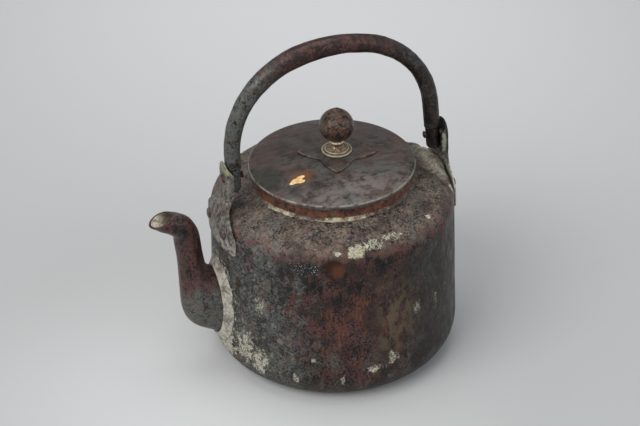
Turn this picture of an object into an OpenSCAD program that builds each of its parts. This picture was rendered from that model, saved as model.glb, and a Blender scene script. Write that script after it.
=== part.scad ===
// Sheet-copper water kettle: a raised pot with a collar, a soldered gooseneck spout,
// a bail handle pinned in two riveted ears, and a lift-off lid with a ball knob.
// Frame: origin at the centre of the base, +Z up, spout towards -X, Y = 0 is the mirror plane.
// All lengths are in millimetres.

/* [Body] */
// Radius of the wall just above the rounded bottom edge
wall_low_r = 88; // [87:0.25:89]
// Radius of the wall just under the shoulder
wall_top_r = 85; // [84.5:0.25:85.5]
// Radius of the rounded bottom edge
bottom_edge_r = 22; // [16:1:24]
// Height at which the lines of the wall and of the shoulder would meet
shoulder_z = 123; // [121:0.5:124]
// Slope of the shoulder, in degrees
shoulder_slope = 19.7; // [18:0.1:21]
// Radius of the rounded shoulder edge
shoulder_edge_r = 13; // [10:1:14]
// Thickness of the pot's sheet
sheet = 1.5; // [1:0.1:2]

/* [Collar and lid] */
// Outer radius of the collar
collar_r = 56.4; // [54:0.2:57]
// Height of the collar above the shoulder
collar_h = 10.8; // [9:0.2:12]
// Thickness of the collar's sheet
collar_sheet = 1.4; // [1:0.1:1.8]
// Height of the lid's dome above its edge
lid_rise = 7.2; // [5:0.2:9]
// Depth of the lid's turned-down edge
lid_skirt = 3.2; // [2.6:0.2:5]
// Thickness of the lid's sheet
lid_sheet = 1.3; // [1:0.1:1.6]
// Depth of the ring under the lid
flange_h = 11; // [8:0.5:13]

/* [Knob] */
// Radius of the hollow ball
ball_r = 12.1; // [11:0.1:12.4]
// Height of the ball's centre above the top of the lid
ball_rise = 20.5; // [19.5:0.1:21.5]
// Radius of the turned foot
foot_r = 10.8; // [9:0.2:12]
// Radius of the foot's waist
waist_r = 3.7; // [3.2:0.1:4.5]
// Length of each pointed lobe of the leaf plate, from the knob's axis
leaf_r = 27.5; // [24:0.5:30]
// Radius of the notches between the lobes
leaf_notch_r = 16.5; // [14:0.5:18]
// Turn of the leaf plate about the knob's axis, in degrees
leaf_turn = -21; // [-45:1:45]
// How far the knob stands off the lid's centre, along +X
knob_off_x = 3.8; // [0:0.2:5]

/* [Spout] */
// Distance of the spout's upright run from the pot's axis
spout_reach = 106; // [105:0.5:108]
// Radius of the upright run
spout_r = 9.2; // [8.6:0.1:9.8]
// Lowest point of the spout's root on the wall
root_low_z = 26; // [24:1:30]
// Highest point of the spout's root on the wall
root_high_z = 80; // [76:1:84]
// Half width of the spout's root
root_half_w = 17.5; // [15:0.5:19]
// Height of the mouth's middle
mouth_z = 127.4; // [126:0.2:129]
// How far the mouth's middle hangs out past the upright run
mouth_out = 18.6; // [17:0.2:20]
// Thickness of the spout's sheet, measured across each section
spout_sheet = 1.7; // [1.4:0.1:2]

/* [Handle] */
// Height of the pivot pins' common axis
pivot_z = 150; // [149:0.5:151]
// Height at which the arch begins
spring_z = 169.5; // [168:0.5:172]
// Distance of the front arm from the pot's axis
front_arm_x = 71.7; // [71:0.1:72]
// Distance of the rear arm from the pot's axis, at the foot of the arch
rear_arm_x = 74; // [73.5:0.25:74.5]
// Outward lean of the rear arm, in degrees
rear_lean = 5; // [4:0.25:6]
// Radius of the arch's two side arcs
side_arc_r = 64; // [60:1:66]
// Radius of the flatter arc over the crown
crown_arc_r = 98; // [90:2:110]
// Radius of the tube where it is thickest, a little in front of the crown
tube_r = 6.9; // [6.4:0.1:7.2]
// Radius of the tube at its lower ends
arm_r = 5.6; // [5.4:0.1:5.8]
// Thickness of the tube's sheet
tube_sheet = 1.4; // [1:0.1:1.5]
// Width of the open seam along the tube's inner side
seam_gap = 1.6; // [1:0.1:2.4]
// Radius of the solid end bars
end_bar_r = 5.4; // [5.1:0.1:5.5]
// Radius of the pivot pins
pin_r = 2; // [1.6:0.1:2.2]
// Radial clearance of the pins in the end bars
pin_play = 0.08; // [0.05:0.01:0.1]

/* [Ears] */
// Half width of the ear's upright part
ear_half_w = 9.6; // [9.2:0.2:11]
// Half width of the ear's wings on the wall
wing_half_w = 28.5; // [26:0.5:30]
// Depth of the edge that is folded inward round the ear's upright part
fold_depth = 4.1; // [3:0.1:5]
// Thickness of the ears' sheet
ear_sheet = 1.5; // [1.3:0.1:1.7]
// Height of the ear's rounded top above the pivot
ear_top = 11; // [10:0.5:12]
// Sideways distance of the rivets from the ear's middle
rivet_out = 14; // [12:0.5:22]
// Radius of the rivets' shanks
rivet_r = 1.8; // [1.4:0.1:2]

/* [Hidden] */
$fn = 96;

COPPER_DARK = [0.20, 0.14, 0.12];
COPPER_RED = [0.34, 0.19, 0.14];
COPPER_BROWN = [0.27, 0.20, 0.17];
BRASS = [0.55, 0.43, 0.25];
SOLDER = [0.62, 0.60, 0.55];

// ---- Pot profile ----
// Lean of the wall from the vertical, and the wall's radius at a height
wall_lean = atan((wall_low_r - wall_top_r) / (shoulder_z - bottom_edge_r));
function wall_r(z) = wall_low_r - (z - bottom_edge_r) * tan(wall_lean);
corner_r = wall_r(shoulder_z);
// Height of the shoulder's outer face at a radius
function shoulder_at(r) = shoulder_z + (corner_r - r) * tan(shoulder_slope);

// Points along an arc in a plane, with its ends included
function arc(cx, cz, r, from, to, steps) =
    [for (i = [0 : steps]) let (a = from + (to - from) * i / steps) [cx + r * cos(a), cz + r * sin(a)]];

// Angles at which the shoulder's rounded edge begins and ends, and its centre
edge_from = wall_lean;
edge_to = 90 - shoulder_slope;
edge_mid = (edge_from + edge_to) / 2;
edge_reach = shoulder_edge_r / cos((edge_to - edge_from) / 2);
edge_cx = corner_r - edge_reach * cos(edge_mid);
edge_cz = shoulder_z - edge_reach * sin(edge_mid);

// Outer line of the pot, moved inward by an inset, from the base's centre to a radius at the top
function pot_line(inset, top_r) = concat(
    [[0, inset]],
    arc(wall_low_r - bottom_edge_r, bottom_edge_r, bottom_edge_r - inset, -90, wall_lean, 10),
    arc(edge_cx, edge_cz, shoulder_edge_r - inset, edge_from, edge_to, 6),
    [[top_r, shoulder_at(top_r) - inset / cos(shoulder_slope)]]
);
function reversed(list) = [for (i = [len(list) - 1 : -1 : 0]) list[i]];

// ---- Collar and lid ----
collar_root_z = shoulder_at(collar_r);
collar_top_z = collar_root_z + collar_h;
collar_depth = 3.5;
collar_bead = 3.2;
bead_lift = 0.02;
lid_gap = 0.05;
skirt_play = 0.4;
lid_r = collar_r + skirt_play + lid_sheet;
lid_inner_r = lid_r - lid_sheet;
// Radius of the sphere that the lid's dome is cut from
dome_r = (pow(lid_r, 2) + pow(lid_rise, 2)) / (2 * lid_rise);
function dome_drop(r) = dome_r - sqrt(pow(dome_r, 2) - pow(r, 2));
// The lid's underside rests on the collar's inner and outer rim
lid_top_z = collar_top_z + lid_gap + lid_sheet + dome_drop(collar_r);
function dome_z(r) = lid_top_z - dome_drop(r);
flange_r = collar_r - collar_sheet - 0.5;
flange_sheet = 1.2;
flange_gap = 0.02;

// ---- Knob ----
leaf_sheet = 0.9;
rod_r = 1.6;
rod_play = 0.03;
ball_sheet = 1;
ball_z = lid_top_z + ball_rise;
// How much of the ball is cut flat at its lower and its upper seat
low_seat = 0.7;
top_seat = 0.3;
collar_ring_r = 5.2;
collar_ring_h = 1.6;
collar_ring_z = ball_z - ball_r + low_seat - collar_ring_h;
rod_head_r = 3.6;
rod_head_h = 1.5;
rod_tail_h = 1.2;
rove_r = 5.2;
rove_h = 1.2;
// The rove meets the lid's curved underside at its own rim
rove_drop = dome_drop(knob_off_x + rove_r) + 0.03;

// ---- Ears and pins ----
ear_clear = 0.05;
ear_base_z = shoulder_z - 20;
wing_top_z = shoulder_z - 10;
ear_neck_z = shoulder_z + 16;
ear_top_z = pivot_z + ear_top;
lean_from_z = shoulder_z - 5;
fold_low_z = shoulder_z + 4;
fold_high_z = ear_top_z - 2.5;
front_lean_to_z = shoulder_z + 17;
rear_lean_to_z = shoulder_z + 8;
end_play = 0.5;
tube_play = 0.3;
tube_end_z = 156;
bar_tip_z = 139;
plug_r = arm_r - tube_sheet - 0.1;
plug_h = 12;
rear_bar_x = rear_arm_x - side_arc_r * (1 - cos(rear_lean))
    + (spring_z + side_arc_r * sin(rear_lean) - pivot_z) * tan(rear_lean);
// The front ear's web stands clear of the tube's end, the rear one of the leaning bar's tip
front_web_r = front_arm_x + arm_r + tube_play;
rear_web_r = rear_bar_x + (pivot_z - bar_tip_z) * tan(rear_lean) + end_bar_r + end_play;
pin_head_r = 3.4;
pin_head_h = 1.4;
pin_tail_r = 2.8;
pin_tail_h = 0.9;
pin_tail_round = 0.5;
pin_hug = 0.02;
rivet_z = shoulder_z - 8;
rivet_angle = asin(rivet_out / wall_top_r);
rivet_head_r = 4;
rivet_head_h = 2;
rivet_tail_r = 2.4;
rivet_tail_h = 1.2;
// The tail's flat face stands off the wall, which curves inward towards the shoulder
rivet_tail_gap = 0.65;
rivet_head_gap = 0.15;

// ---- Handle arch: a crown arc between two side arcs, all tangent ----
arch_mid_x = (rear_arm_x - front_arm_x) / 2;
arch_half = (rear_arm_x + front_arm_x) / 2;
side_arc_x = arch_half - side_arc_r;
crown_half_angle = asin(side_arc_x / (crown_arc_r - side_arc_r));
crown_cz = spring_z - (crown_arc_r - side_arc_r) * cos(crown_half_angle);
// The rear side arc stops where its tangent has the rear arm's lean
rear_foot_x = arch_mid_x + arch_half - side_arc_r * (1 - cos(rear_lean));
rear_foot_z = spring_z + side_arc_r * sin(rear_lean);

// ---- Spout sections, each given by its outer and its inner end in the XZ plane and its
// half width in Y. They run from the wall, round the heel, up the straight run and over to the lip.
heel_x = spout_reach + spout_r - 0.7;
back_x = spout_reach - spout_r + 0.2;
mouth_x = spout_reach + mouth_out;
SPOUT_SECTIONS = [
    [wall_r(root_low_z), root_low_z, wall_r(root_high_z), root_high_z, root_half_w],
    [heel_x - 14.5, root_low_z + 6, back_x - 5.5, root_high_z + 1, root_half_w - 2],
    [heel_x - 5.5, root_low_z + 13.5, back_x - 2.5, root_high_z + 4, root_half_w - 3.5],
    [heel_x - 1, root_low_z + 24, back_x - 1, root_high_z + 9, root_half_w - 5],
    [heel_x, root_low_z + 42, back_x, root_high_z + 17, spout_r + 1.2],
    [heel_x + 0.5, root_low_z + 64, back_x + 0.5, root_high_z + 23, spout_r + 0.3],
    [mouth_x - 8.2, mouth_z - 22.4, back_x + 1.5, mouth_z - 15.4, spout_r],
    [mouth_x - 7.2, mouth_z - 14.9, mouth_x - 24, mouth_z - 9.4, spout_r - 0.1],
    [mouth_x - 3, mouth_z - 10.9, mouth_x - 19.8, mouth_z - 2.6, spout_r - 0.2],
    [mouth_x + 2.4, mouth_z - 7.8, mouth_x - 12.8, mouth_z + 1.9, spout_r - 0.6],
    [mouth_x + 8.3, mouth_z - 3.3, mouth_x - 8.2, mouth_z + 3.2, spout_r - 1]
];
SPOUT_SIDES = 24;
SPOUT_STEPS = 3;

// Value on a smooth curve through four neighbours, between the middle two
function smooth(a, b, c, d, t) =
    b + t * ((c - a) / 2 + t * ((2 * a - 5 * b + 4 * c - d) / 2 + t * (3 * (b - c) + d - a) / 2));
function section_at(s) =
    let (last = len(SPOUT_SECTIONS) - 1, i = min(floor(s), last - 1), t = s - i)
    smooth(SPOUT_SECTIONS[max(i - 1, 0)], SPOUT_SECTIONS[i], SPOUT_SECTIONS[i + 1],
        SPOUT_SECTIONS[min(i + 2, last)], t);

// Ring of points round a section, its outline moved inward by an inset
function spout_ring(section, inset) =
    let (
        outer = [section[0], section[1]],
        inner = [section[2], section[3]],
        mid = (outer + inner) / 2,
        half = norm(outer - inner) / 2,
        along = (outer - inner) / (2 * half)
    )
    [for (k = [0 : SPOUT_SIDES - 1])
        let (a = 360 * k / SPOUT_SIDES, p = mid + along * (half - inset) * cos(a))
        [-p[0], (section[4] - inset) * sin(a), p[1]]];

// The same ring laid on the pot's wall
function laid_on_wall(ring, gap) =
    [for (p = ring) [-sqrt(pow(wall_r(p[2]) + gap, 2) - pow(p[1], 2)), p[1], p[2]]];

// Triangles between neighbouring rings, over a number of gaps; ring 0 follows the last ring
function swept_faces(rings, sides, gaps) = [
    for (i = [0 : gaps - 1]) for (k = [0 : sides - 1])
        let (
            a = i * sides + k,
            b = i * sides + (k + 1) % sides,
            c = ((i + 1) % rings) * sides + k,
            d = ((i + 1) % rings) * sides + (k + 1) % sides
        )
        each [[a, b, d], [a, d, c]]
];

// Solid between rings that close up on themselves, the last ring joining the first
module band(rings) {
    polyhedron(
        points = [for (ring = rings) each ring],
        faces = swept_faces(len(rings), len(rings[0]), len(rings)),
        convexity = 6
    );
}

// ---- Kettle ----

module body_shell() {
    color(COPPER_DARK) difference() {
        rotate_extrude() polygon(concat(pot_line(0, collar_r), reversed(pot_line(sheet, collar_r))));
        spout_inlet();
        for (side = [0, 180]) rotate([0, 0, side]) rivet_holes();
    }
}

// Upright slot through the wall behind the spout's root
module spout_inlet() {
    inlet_r = 12;
    low = root_low_z + 20;
    high = root_high_z - 17;
    translate([-wall_low_r - 2, 0, 0]) {
        for (z = [low, high]) translate([0, 0, z]) rotate([0, 90, 0]) cylinder(r = inlet_r, h = 12);
        translate([0, -inlet_r, low]) cube([12, 2 * inlet_r, high - low]);
    }
}

module rivet_holes() {
    for (side = [-1, 1]) rotate([0, 0, 180 + side * rivet_angle])
        translate([wall_top_r - 6, 0, rivet_z]) rotate([0, 90, 0]) cylinder(r = rivet_r, h = 12, $fn = 32);
}

module neck_ring() {
    color(COPPER_RED) difference() {
        translate([0, 0, collar_root_z - collar_depth]) cylinder(r = collar_r, h = collar_h + collar_depth);
        translate([0, 0, collar_root_z - collar_depth - 1])
            cylinder(r = collar_r - collar_sheet, h = collar_h + collar_depth + 2);
    }
}

// Bead with a hollow face in the corner between the collar and the shoulder
module neck_solder() {
    bead_end = collar_r + collar_bead;
    color(SOLDER) translate([0, 0, bead_lift]) rotate_extrude() polygon(concat(
        [[collar_r, collar_root_z], [bead_end, shoulder_at(bead_end)]],
        [for (i = [1 : 4])
            let (t = i / 5, away = collar_bead * (1 - t))
            [collar_r + away, shoulder_at(collar_r + away) + collar_bead * (1 - sqrt(1 - pow(t, 2)))]],
        [[collar_r, collar_root_z + collar_bead]]
    ));
}

module spout() {
    last = (len(SPOUT_SECTIONS) - 1) * SPOUT_STEPS;
    root = SPOUT_SECTIONS[0];
    skin = [for (i = [1 : last]) section_at(i / SPOUT_STEPS)];
    color(COPPER_RED) band(concat(
        [laid_on_wall(spout_ring(root, 0), 0.05)],
        [for (s = skin) spout_ring(s, 0)],
        [for (i = [last - 1 : -1 : 0]) spout_ring(skin[i], spout_sheet)],
        [laid_on_wall(spout_ring(root, spout_sheet), 0.05)]
    ));
}

// Solder band on the wall round the spout's root, thickest against the spout
module spout_solder() {
    root = SPOUT_SECTIONS[0];
    grow = -5;
    lift = 4;
    color(SOLDER) band([
        laid_on_wall(spout_ring(root, -0.3), 0.05),
        laid_on_wall(spout_ring(root, grow), 0.05),
        laid_on_wall(spout_ring(root, grow * 0.45), lift * 0.45),
        laid_on_wall(spout_ring(root, -0.9), lift)
    ]);
}

// Half width of an ear at a height: wings, a smooth waist, then the upright part
function ear_half(z) =
    z <= wing_top_z ? wing_half_w
    : z >= ear_neck_z ? ear_half_w
    : let (t = (z - wing_top_z) / (ear_neck_z - wing_top_z), s = t * t * (3 - 2 * t))
        wing_half_w + (ear_half_w - wing_half_w) * pow(s, 0.9);

// Outline of an ear, its sides and its round top moved inward by an inset
module ear_outline(inset) {
    corner = 4;
    steps = 10;
    right = concat(
        arc(wing_half_w - corner - inset, ear_base_z + corner, corner, -90, 0, 4),
        [for (i = [0 : steps])
            let (z = wing_top_z + (ear_neck_z - wing_top_z) * i / steps) [ear_half(z) - inset, z]],
        arc(0, ear_top_z - ear_half_w, ear_half_w - inset, 0, 90, 8)
    );
    polygon(concat(right, [for (p = reversed(right)) [-p[0], p[1]]]));
}

// Line of an ear's sheet in the XZ plane, moved outward from its inner face
function ear_line(web_r, lean_to_z, out) = [
    [wall_r(ear_base_z) + ear_clear + out, ear_base_z - 1],
    [wall_r(lean_from_z) + ear_clear + out, lean_from_z],
    [web_r + out, lean_to_z],
    [web_r + out, ear_top_z + 1]
];

// Sheet of an ear: a band of revolution cut to the ear's outline, on the +X side
module ear_sheet_band(web_r, lean_to_z) {
    intersection() {
        rotate_extrude($fn = 180) polygon(concat(
            ear_line(web_r, lean_to_z, 0), reversed(ear_line(web_r, lean_to_z, ear_sheet))));
        rotate([90, 0, 90]) linear_extrude(height = wall_low_r + 10) ear_outline(0);
    }
}

// Edge folded inward along both sides of the upright part; it runs out towards the round top
module ear_fold(web_r, lean_to_z) {
    middle = ear_line(web_r, lean_to_z, ear_sheet / 3);
    lean = (fold_low_z - lean_from_z) / (lean_to_z - lean_from_z);
    foot_r = middle[1][0] + (middle[2][0] - middle[1][0]) * lean;
    deep_r = web_r - fold_depth;
    intersection() {
        rotate([90, 0, 90]) linear_extrude(height = wall_low_r + 10) difference() {
            ear_outline(0);
            ear_outline(ear_sheet);
        }
        rotate([90, 0, 0]) linear_extrude(height = 2 * wing_half_w, center = true) polygon([
            [foot_r, fold_low_z], [middle[2][0], lean_to_z], [middle[3][0], fold_high_z],
            [web_r - 0.3, fold_high_z], [deep_r, ear_top_z - ear_half_w], [deep_r, ear_neck_z]
        ]);
    }
}

module ear(web_r, lean_to_z) {
    difference() {
        union() {
            ear_sheet_band(web_r, lean_to_z);
            ear_fold(web_r, lean_to_z);
        }
        translate([web_r - 3, 0, pivot_z]) rotate([0, 90, 0])
            cylinder(r = pin_r + pin_hug, h = 8, $fn = 48);
        rotate([0, 0, 180]) rivet_holes();
    }
}

module front_lug() {
    color(COPPER_BROWN) rotate([0, 0, 180]) ear(front_web_r, front_lean_to_z);
}

module rear_lug() {
    color(COPPER_BROWN) ear(rear_web_r, rear_lean_to_z);
}

// One rivet along +X: tail inside the wall, shank, and a low domed head
module rivet() {
    inside = wall_r(rivet_z) - sheet - rivet_tail_gap;
    outside = wall_r(rivet_z) + ear_clear + ear_sheet + rivet_head_gap;
    rotate([0, 90, 0]) rotate_extrude($fn = 48) polygon(concat(
        [[0, inside - rivet_tail_h], [rivet_tail_r - 0.6, inside - rivet_tail_h], [rivet_tail_r, inside]],
        [[rivet_r, inside], [rivet_r, outside]],
        [for (i = [0 : 5]) let (a = 90 * i / 5) [rivet_head_r * cos(a), outside + rivet_head_h * sin(a)]]
    ));
}

module ear_rivets() {
    for (side = [-1, 1]) rotate([0, 0, side * rivet_angle]) translate([0, 0, rivet_z]) rivet();
}

module front_lug_rivets() {
    color(COPPER_RED) rotate([0, 0, 180]) ear_rivets();
}

module rear_lug_rivets() {
    color(COPPER_RED) ear_rivets();
}

// Headed pin along +X, with its peened tail inside the handle's end bar
module pivot_pin(web_r, bar_x) {
    outside = web_r + ear_sheet + 0.05;
    inside = bar_x - end_bar_r - 0.5;
    translate([0, 0, pivot_z]) rotate([0, 90, 0]) rotate_extrude($fn = 48) polygon(concat(
        [[0, inside - pin_tail_h], [pin_tail_r - pin_tail_round, inside - pin_tail_h]],
        [[pin_tail_r, inside - pin_tail_h + pin_tail_round]],
        [[pin_tail_r, inside], [pin_r, inside], [pin_r, outside]],
        [for (i = [0 : 5]) let (a = 90 * i / 5) [pin_head_r * cos(a), outside + pin_head_h * sin(a)]]
    ));
}

module front_pivot_pin() {
    color(COPPER_BROWN) rotate([0, 0, 180]) pivot_pin(front_web_r, front_arm_x);
}

module rear_pivot_pin() {
    color(COPPER_BROWN) pivot_pin(rear_web_r, rear_bar_x);
}

// ---- Handle ----

// The tube is swept along stations from the front arm's end, over the arch, to the rear arm's end.
// A station is [x, z, direction out of the arch in degrees].
function arch_stations(cx, cz, arc_r, from, to, steps) =
    [for (i = [0 : steps])
        let (a = from + (to - from) * i / steps) [cx + arc_r * cos(a), cz + arc_r * sin(a), a]];

crown_inset = crown_half_angle / 4;
handle_stations = concat(
    [[-front_arm_x, tube_end_z, 180], [-front_arm_x, (tube_end_z + spring_z) / 2, 180]],
    arch_stations(arch_mid_x - side_arc_x, spring_z, side_arc_r, 180, 90 + crown_half_angle, 12),
    arch_stations(arch_mid_x, crown_cz, crown_arc_r,
        90 + crown_half_angle - crown_inset, 90 - crown_half_angle + crown_inset, 6),
    arch_stations(arch_mid_x + side_arc_x, spring_z, side_arc_r, 90 - crown_half_angle, rear_lean, 11),
    [[rear_foot_x + (rear_foot_z - tube_end_z) * tan(rear_lean), tube_end_z, rear_lean]]
);
SEAM_SIDES = 16;

// Radius of the tube at a distance along X
function tube_r_at(x) =
    let (over = max(0, min(1, (x + front_arm_x) / (front_arm_x + rear_arm_x))))
    arm_r + (tube_r - arm_r) * sin(180 * pow(over, 0.72));

// Open ring of the rolled sheet: the outer skin one way round, then the inner skin back
function seam_ring(station) =
    let (
        r = tube_r_at(station[0]),
        gap = asin(seam_gap / (2 * r)),
        out = [cos(station[2]), 0, sin(station[2])],
        mid = [station[0], 0, station[1]],
        angles = [for (k = [0 : SEAM_SIDES]) gap - 180 + (360 - 2 * gap) * k / SEAM_SIDES]
    )
    concat(
        [for (a = angles) mid + r * (out * cos(a) + [0, sin(a), 0])],
        [for (a = reversed(angles)) mid + (r - tube_sheet) * (out * cos(a) + [0, sin(a), 0])]
    );

// Triangles of the two ends of a tube swept from open rings
function seam_caps(rings, sides) = [
    for (k = [0 : sides / 2 - 2])
        let (a = k, b = k + 1, c = sides - 2 - k, d = sides - 1 - k, far = (rings - 1) * sides)
        each [[a, c, b], [a, d, c], [far + a, far + b, far + c], [far + a, far + c, far + d]]
];

module handle_tube() {
    rings = [for (station = handle_stations) seam_ring(station)];
    sides = len(rings[0]);
    color(COPPER_BROWN) polyhedron(
        points = [for (ring = rings) each ring],
        faces = concat(swept_faces(len(rings), sides, len(rings) - 1), seam_caps(len(rings), sides)),
        convexity = 8
    );
}

// Solid end bar below the tube's lower end, with a plug that goes up into the tube
module end_bar(bar_h) {
    tip = 1.5;
    cylinder(r = plug_r, h = plug_h, $fn = 48);
    translate([0, 0, -bar_h + tip]) cylinder(r = end_bar_r, h = bar_h - tip, $fn = 48);
    translate([0, 0, -bar_h]) cylinder(r1 = end_bar_r - tip, r2 = end_bar_r, h = tip, $fn = 48);
}

module pin_bore() {
    translate([0, 0, pivot_z]) rotate([0, 90, 0])
        cylinder(r = pin_r + pin_play, h = 2 * wall_low_r, center = true, $fn = 48);
}

module front_handle_end() {
    color(COPPER_DARK) difference() {
        translate([-front_arm_x, 0, tube_end_z]) end_bar(tube_end_z - bar_tip_z);
        pin_bore();
    }
}

module rear_handle_end() {
    length = (rear_foot_z - tube_end_z) / cos(rear_lean);
    color(COPPER_DARK) difference() {
        translate([rear_foot_x, 0, rear_foot_z]) rotate([0, -rear_lean, 0]) translate([0, 0, -length])
            end_bar((tube_end_z - bar_tip_z) / cos(rear_lean));
        pin_bore();
    }
}

// ---- Lid ----

// Line over the dome from its centre to a radius, raised by an amount
function dome_line(to_r, raise) =
    let (steps = 12) [for (i = [0 : steps]) let (r = to_r * i / steps) [r, dome_z(r) + raise]];

// Everything under the dome, raised by an amount; it trims what stands on the lid
module under_dome(raise) {
    r = 40;
    rotate_extrude() polygon(concat(dome_line(r, raise), [[r, dome_z(r) - 10], [0, dome_z(r) - 10]]));
}

module on_knob_axis() {
    translate([knob_off_x, 0, 0]) children();
}

module rod_hole() {
    on_knob_axis() cylinder(r = rod_r + rod_play, h = 400, $fn = 48);
}

module lid_plate() {
    corner = 1;
    edge_z = dome_z(lid_r);
    color(COPPER_BROWN) difference() {
        rotate_extrude($fn = 180) polygon(concat(
            dome_line(lid_r - corner, 0),
            [[lid_r, edge_z - corner], [lid_r, edge_z - lid_skirt]],
            [[lid_inner_r, edge_z - lid_skirt], [lid_inner_r, dome_z(lid_inner_r) - lid_sheet]],
            reversed(dome_line(lid_inner_r, -lid_sheet))
        ));
        rod_hole();
    }
}

// Ring that fits inside the collar, soldered to the lid's underside
module lid_flange() {
    color(COPPER_RED) rotate_extrude() polygon([
        [flange_r - flange_sheet, dome_z(flange_r - flange_sheet) - lid_sheet - flange_gap],
        [flange_r, dome_z(flange_r) - lid_sheet - flange_gap],
        [flange_r, collar_top_z - flange_h],
        [flange_r - flange_sheet, collar_top_z - flange_h]
    ]);
}

// Radius of the leaf plate's edge at an angle from a lobe's tip
function leaf_edge(a) =
    let (u = abs(a) / 45, v = pow(1 - u, 1.5)) leaf_notch_r + (leaf_r - leaf_notch_r) * v;

module leaf_outline() {
    steps = 6;
    polygon([for (lobe = [0 : 3]) for (i = [-steps : steps - 1])
        let (a = 45 * i / steps, r = leaf_edge(a)) r * [cos(90 * lobe + a), sin(90 * lobe + a)]]);
}

module knob_leaf_plate() {
    color(COPPER_BROWN) difference() {
        intersection() {
            rotate_extrude() polygon(concat(dome_line(34, 0.02), reversed(dome_line(34, leaf_sheet))));
            on_knob_axis() rotate([0, 0, leaf_turn]) translate([0, 0, lid_top_z - 10])
                linear_extrude(height = 20) leaf_outline();
        }
        rod_hole();
    }
}

// Turned foot: a low rim, a rounded step and a hollow waist that widens again under the collar
module knob_foot() {
    top = collar_ring_z;
    base = lid_top_z - 1;
    rim = lid_top_z + leaf_sheet + 0.9;
    color(BRASS) difference() {
        on_knob_axis() rotate_extrude() polygon([
            [0, base], [foot_r, base], [foot_r, rim - 0.4], [foot_r - 0.4, rim], [foot_r - 1.9, rim],
            [foot_r - 2.1, rim + 0.7], [foot_r - 2.8, rim + 1.2], [foot_r - 4.4, rim + 1.5],
            [waist_r + 0.7, rim + 2.3], [waist_r, rim + 3.6],
            [waist_r, top - 1.2], [waist_r + 0.9, top], [0, top]
        ]);
        under_dome(leaf_sheet + 0.02);
        rod_hole();
    }
}

module knob_collar() {
    color(SOLDER) difference() {
        on_knob_axis() translate([0, 0, collar_ring_z]) rotate_extrude($fn = 64) polygon([
            [0, 0], [collar_ring_r - 0.5, 0], [collar_ring_r, collar_ring_h / 2],
            [collar_ring_r - 0.5, collar_ring_h], [0, collar_ring_h]
        ]);
        rod_hole();
    }
}

// Hollow ball with a flat seat on the collar and a flat seat under the rivet's head
module knob_ball() {
    seat_z = collar_ring_z + collar_ring_h;
    color(COPPER_RED) difference() {
        on_knob_axis() intersection() {
            translate([0, 0, ball_z]) difference() {
                sphere(r = ball_r);
                sphere(r = ball_r - ball_sheet);
            }
            translate([-ball_r, -ball_r, seat_z])
                cube([2 * ball_r, 2 * ball_r, 2 * ball_r - low_seat - top_seat]);
        }
        rod_hole();
    }
}

module knob_rivet() {
    head_z = ball_z + ball_r - top_seat;
    tail_z = lid_top_z - lid_sheet - rove_drop - rove_h;
    color(BRASS) on_knob_axis() {
        translate([0, 0, tail_z]) cylinder(r = rod_r, h = head_z - tail_z + rod_head_h / 2, $fn = 48);
        translate([0, 0, head_z]) rotate_extrude($fn = 48) polygon(concat(
            [[0, 0]],
            [for (i = [0 : 5]) let (a = 90 * i / 5) [rod_head_r * cos(a), rod_head_h * sin(a)]]
        ));
        translate([0, 0, tail_z - rod_tail_h]) cylinder(r1 = rod_r, r2 = rod_r + 1, h = rod_tail_h, $fn = 48);
    }
}

module knob_rove() {
    color(BRASS) on_knob_axis() translate([0, 0, lid_top_z - lid_sheet - rove_drop - rove_h]) difference() {
        cylinder(r = rove_r, h = rove_h, $fn = 64);
        translate([0, 0, -1]) cylinder(r = rod_r + rod_play, h = rove_h + 2, $fn = 48);
    }
}

body_shell();
neck_ring();
neck_solder();
spout();
spout_solder();
front_lug();
rear_lug();
front_lug_rivets();
rear_lug_rivets();
front_pivot_pin();
rear_pivot_pin();
handle_tube();
front_handle_end();
rear_handle_end();
lid_plate();
lid_flange();
knob_leaf_plate();
knob_foot();
knob_collar();
knob_ball();
knob_rivet();
knob_rove();
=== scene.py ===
import math

import bmesh
import bpy
import numpy as np
from mathutils import Matrix, Vector, noise


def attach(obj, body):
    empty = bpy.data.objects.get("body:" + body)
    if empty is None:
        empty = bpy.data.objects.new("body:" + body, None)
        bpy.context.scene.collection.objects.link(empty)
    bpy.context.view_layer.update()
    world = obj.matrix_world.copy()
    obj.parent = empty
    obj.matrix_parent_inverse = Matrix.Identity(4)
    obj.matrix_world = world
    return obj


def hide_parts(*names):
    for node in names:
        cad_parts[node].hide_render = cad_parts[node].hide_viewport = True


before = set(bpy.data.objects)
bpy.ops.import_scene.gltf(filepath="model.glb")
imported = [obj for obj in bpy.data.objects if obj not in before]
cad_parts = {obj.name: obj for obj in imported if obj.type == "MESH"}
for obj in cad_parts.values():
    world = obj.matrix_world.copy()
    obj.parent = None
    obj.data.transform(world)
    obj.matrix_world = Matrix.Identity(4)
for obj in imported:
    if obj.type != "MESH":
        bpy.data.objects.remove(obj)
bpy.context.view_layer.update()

# An old sheet-copper kettle. Shapes are worked out in millimetres in the frame of the CAD part
# (spout towards -X, handle in the XZ plane, base at Z = 0) and become metres in new_mesh().
MM = 0.001

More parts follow.
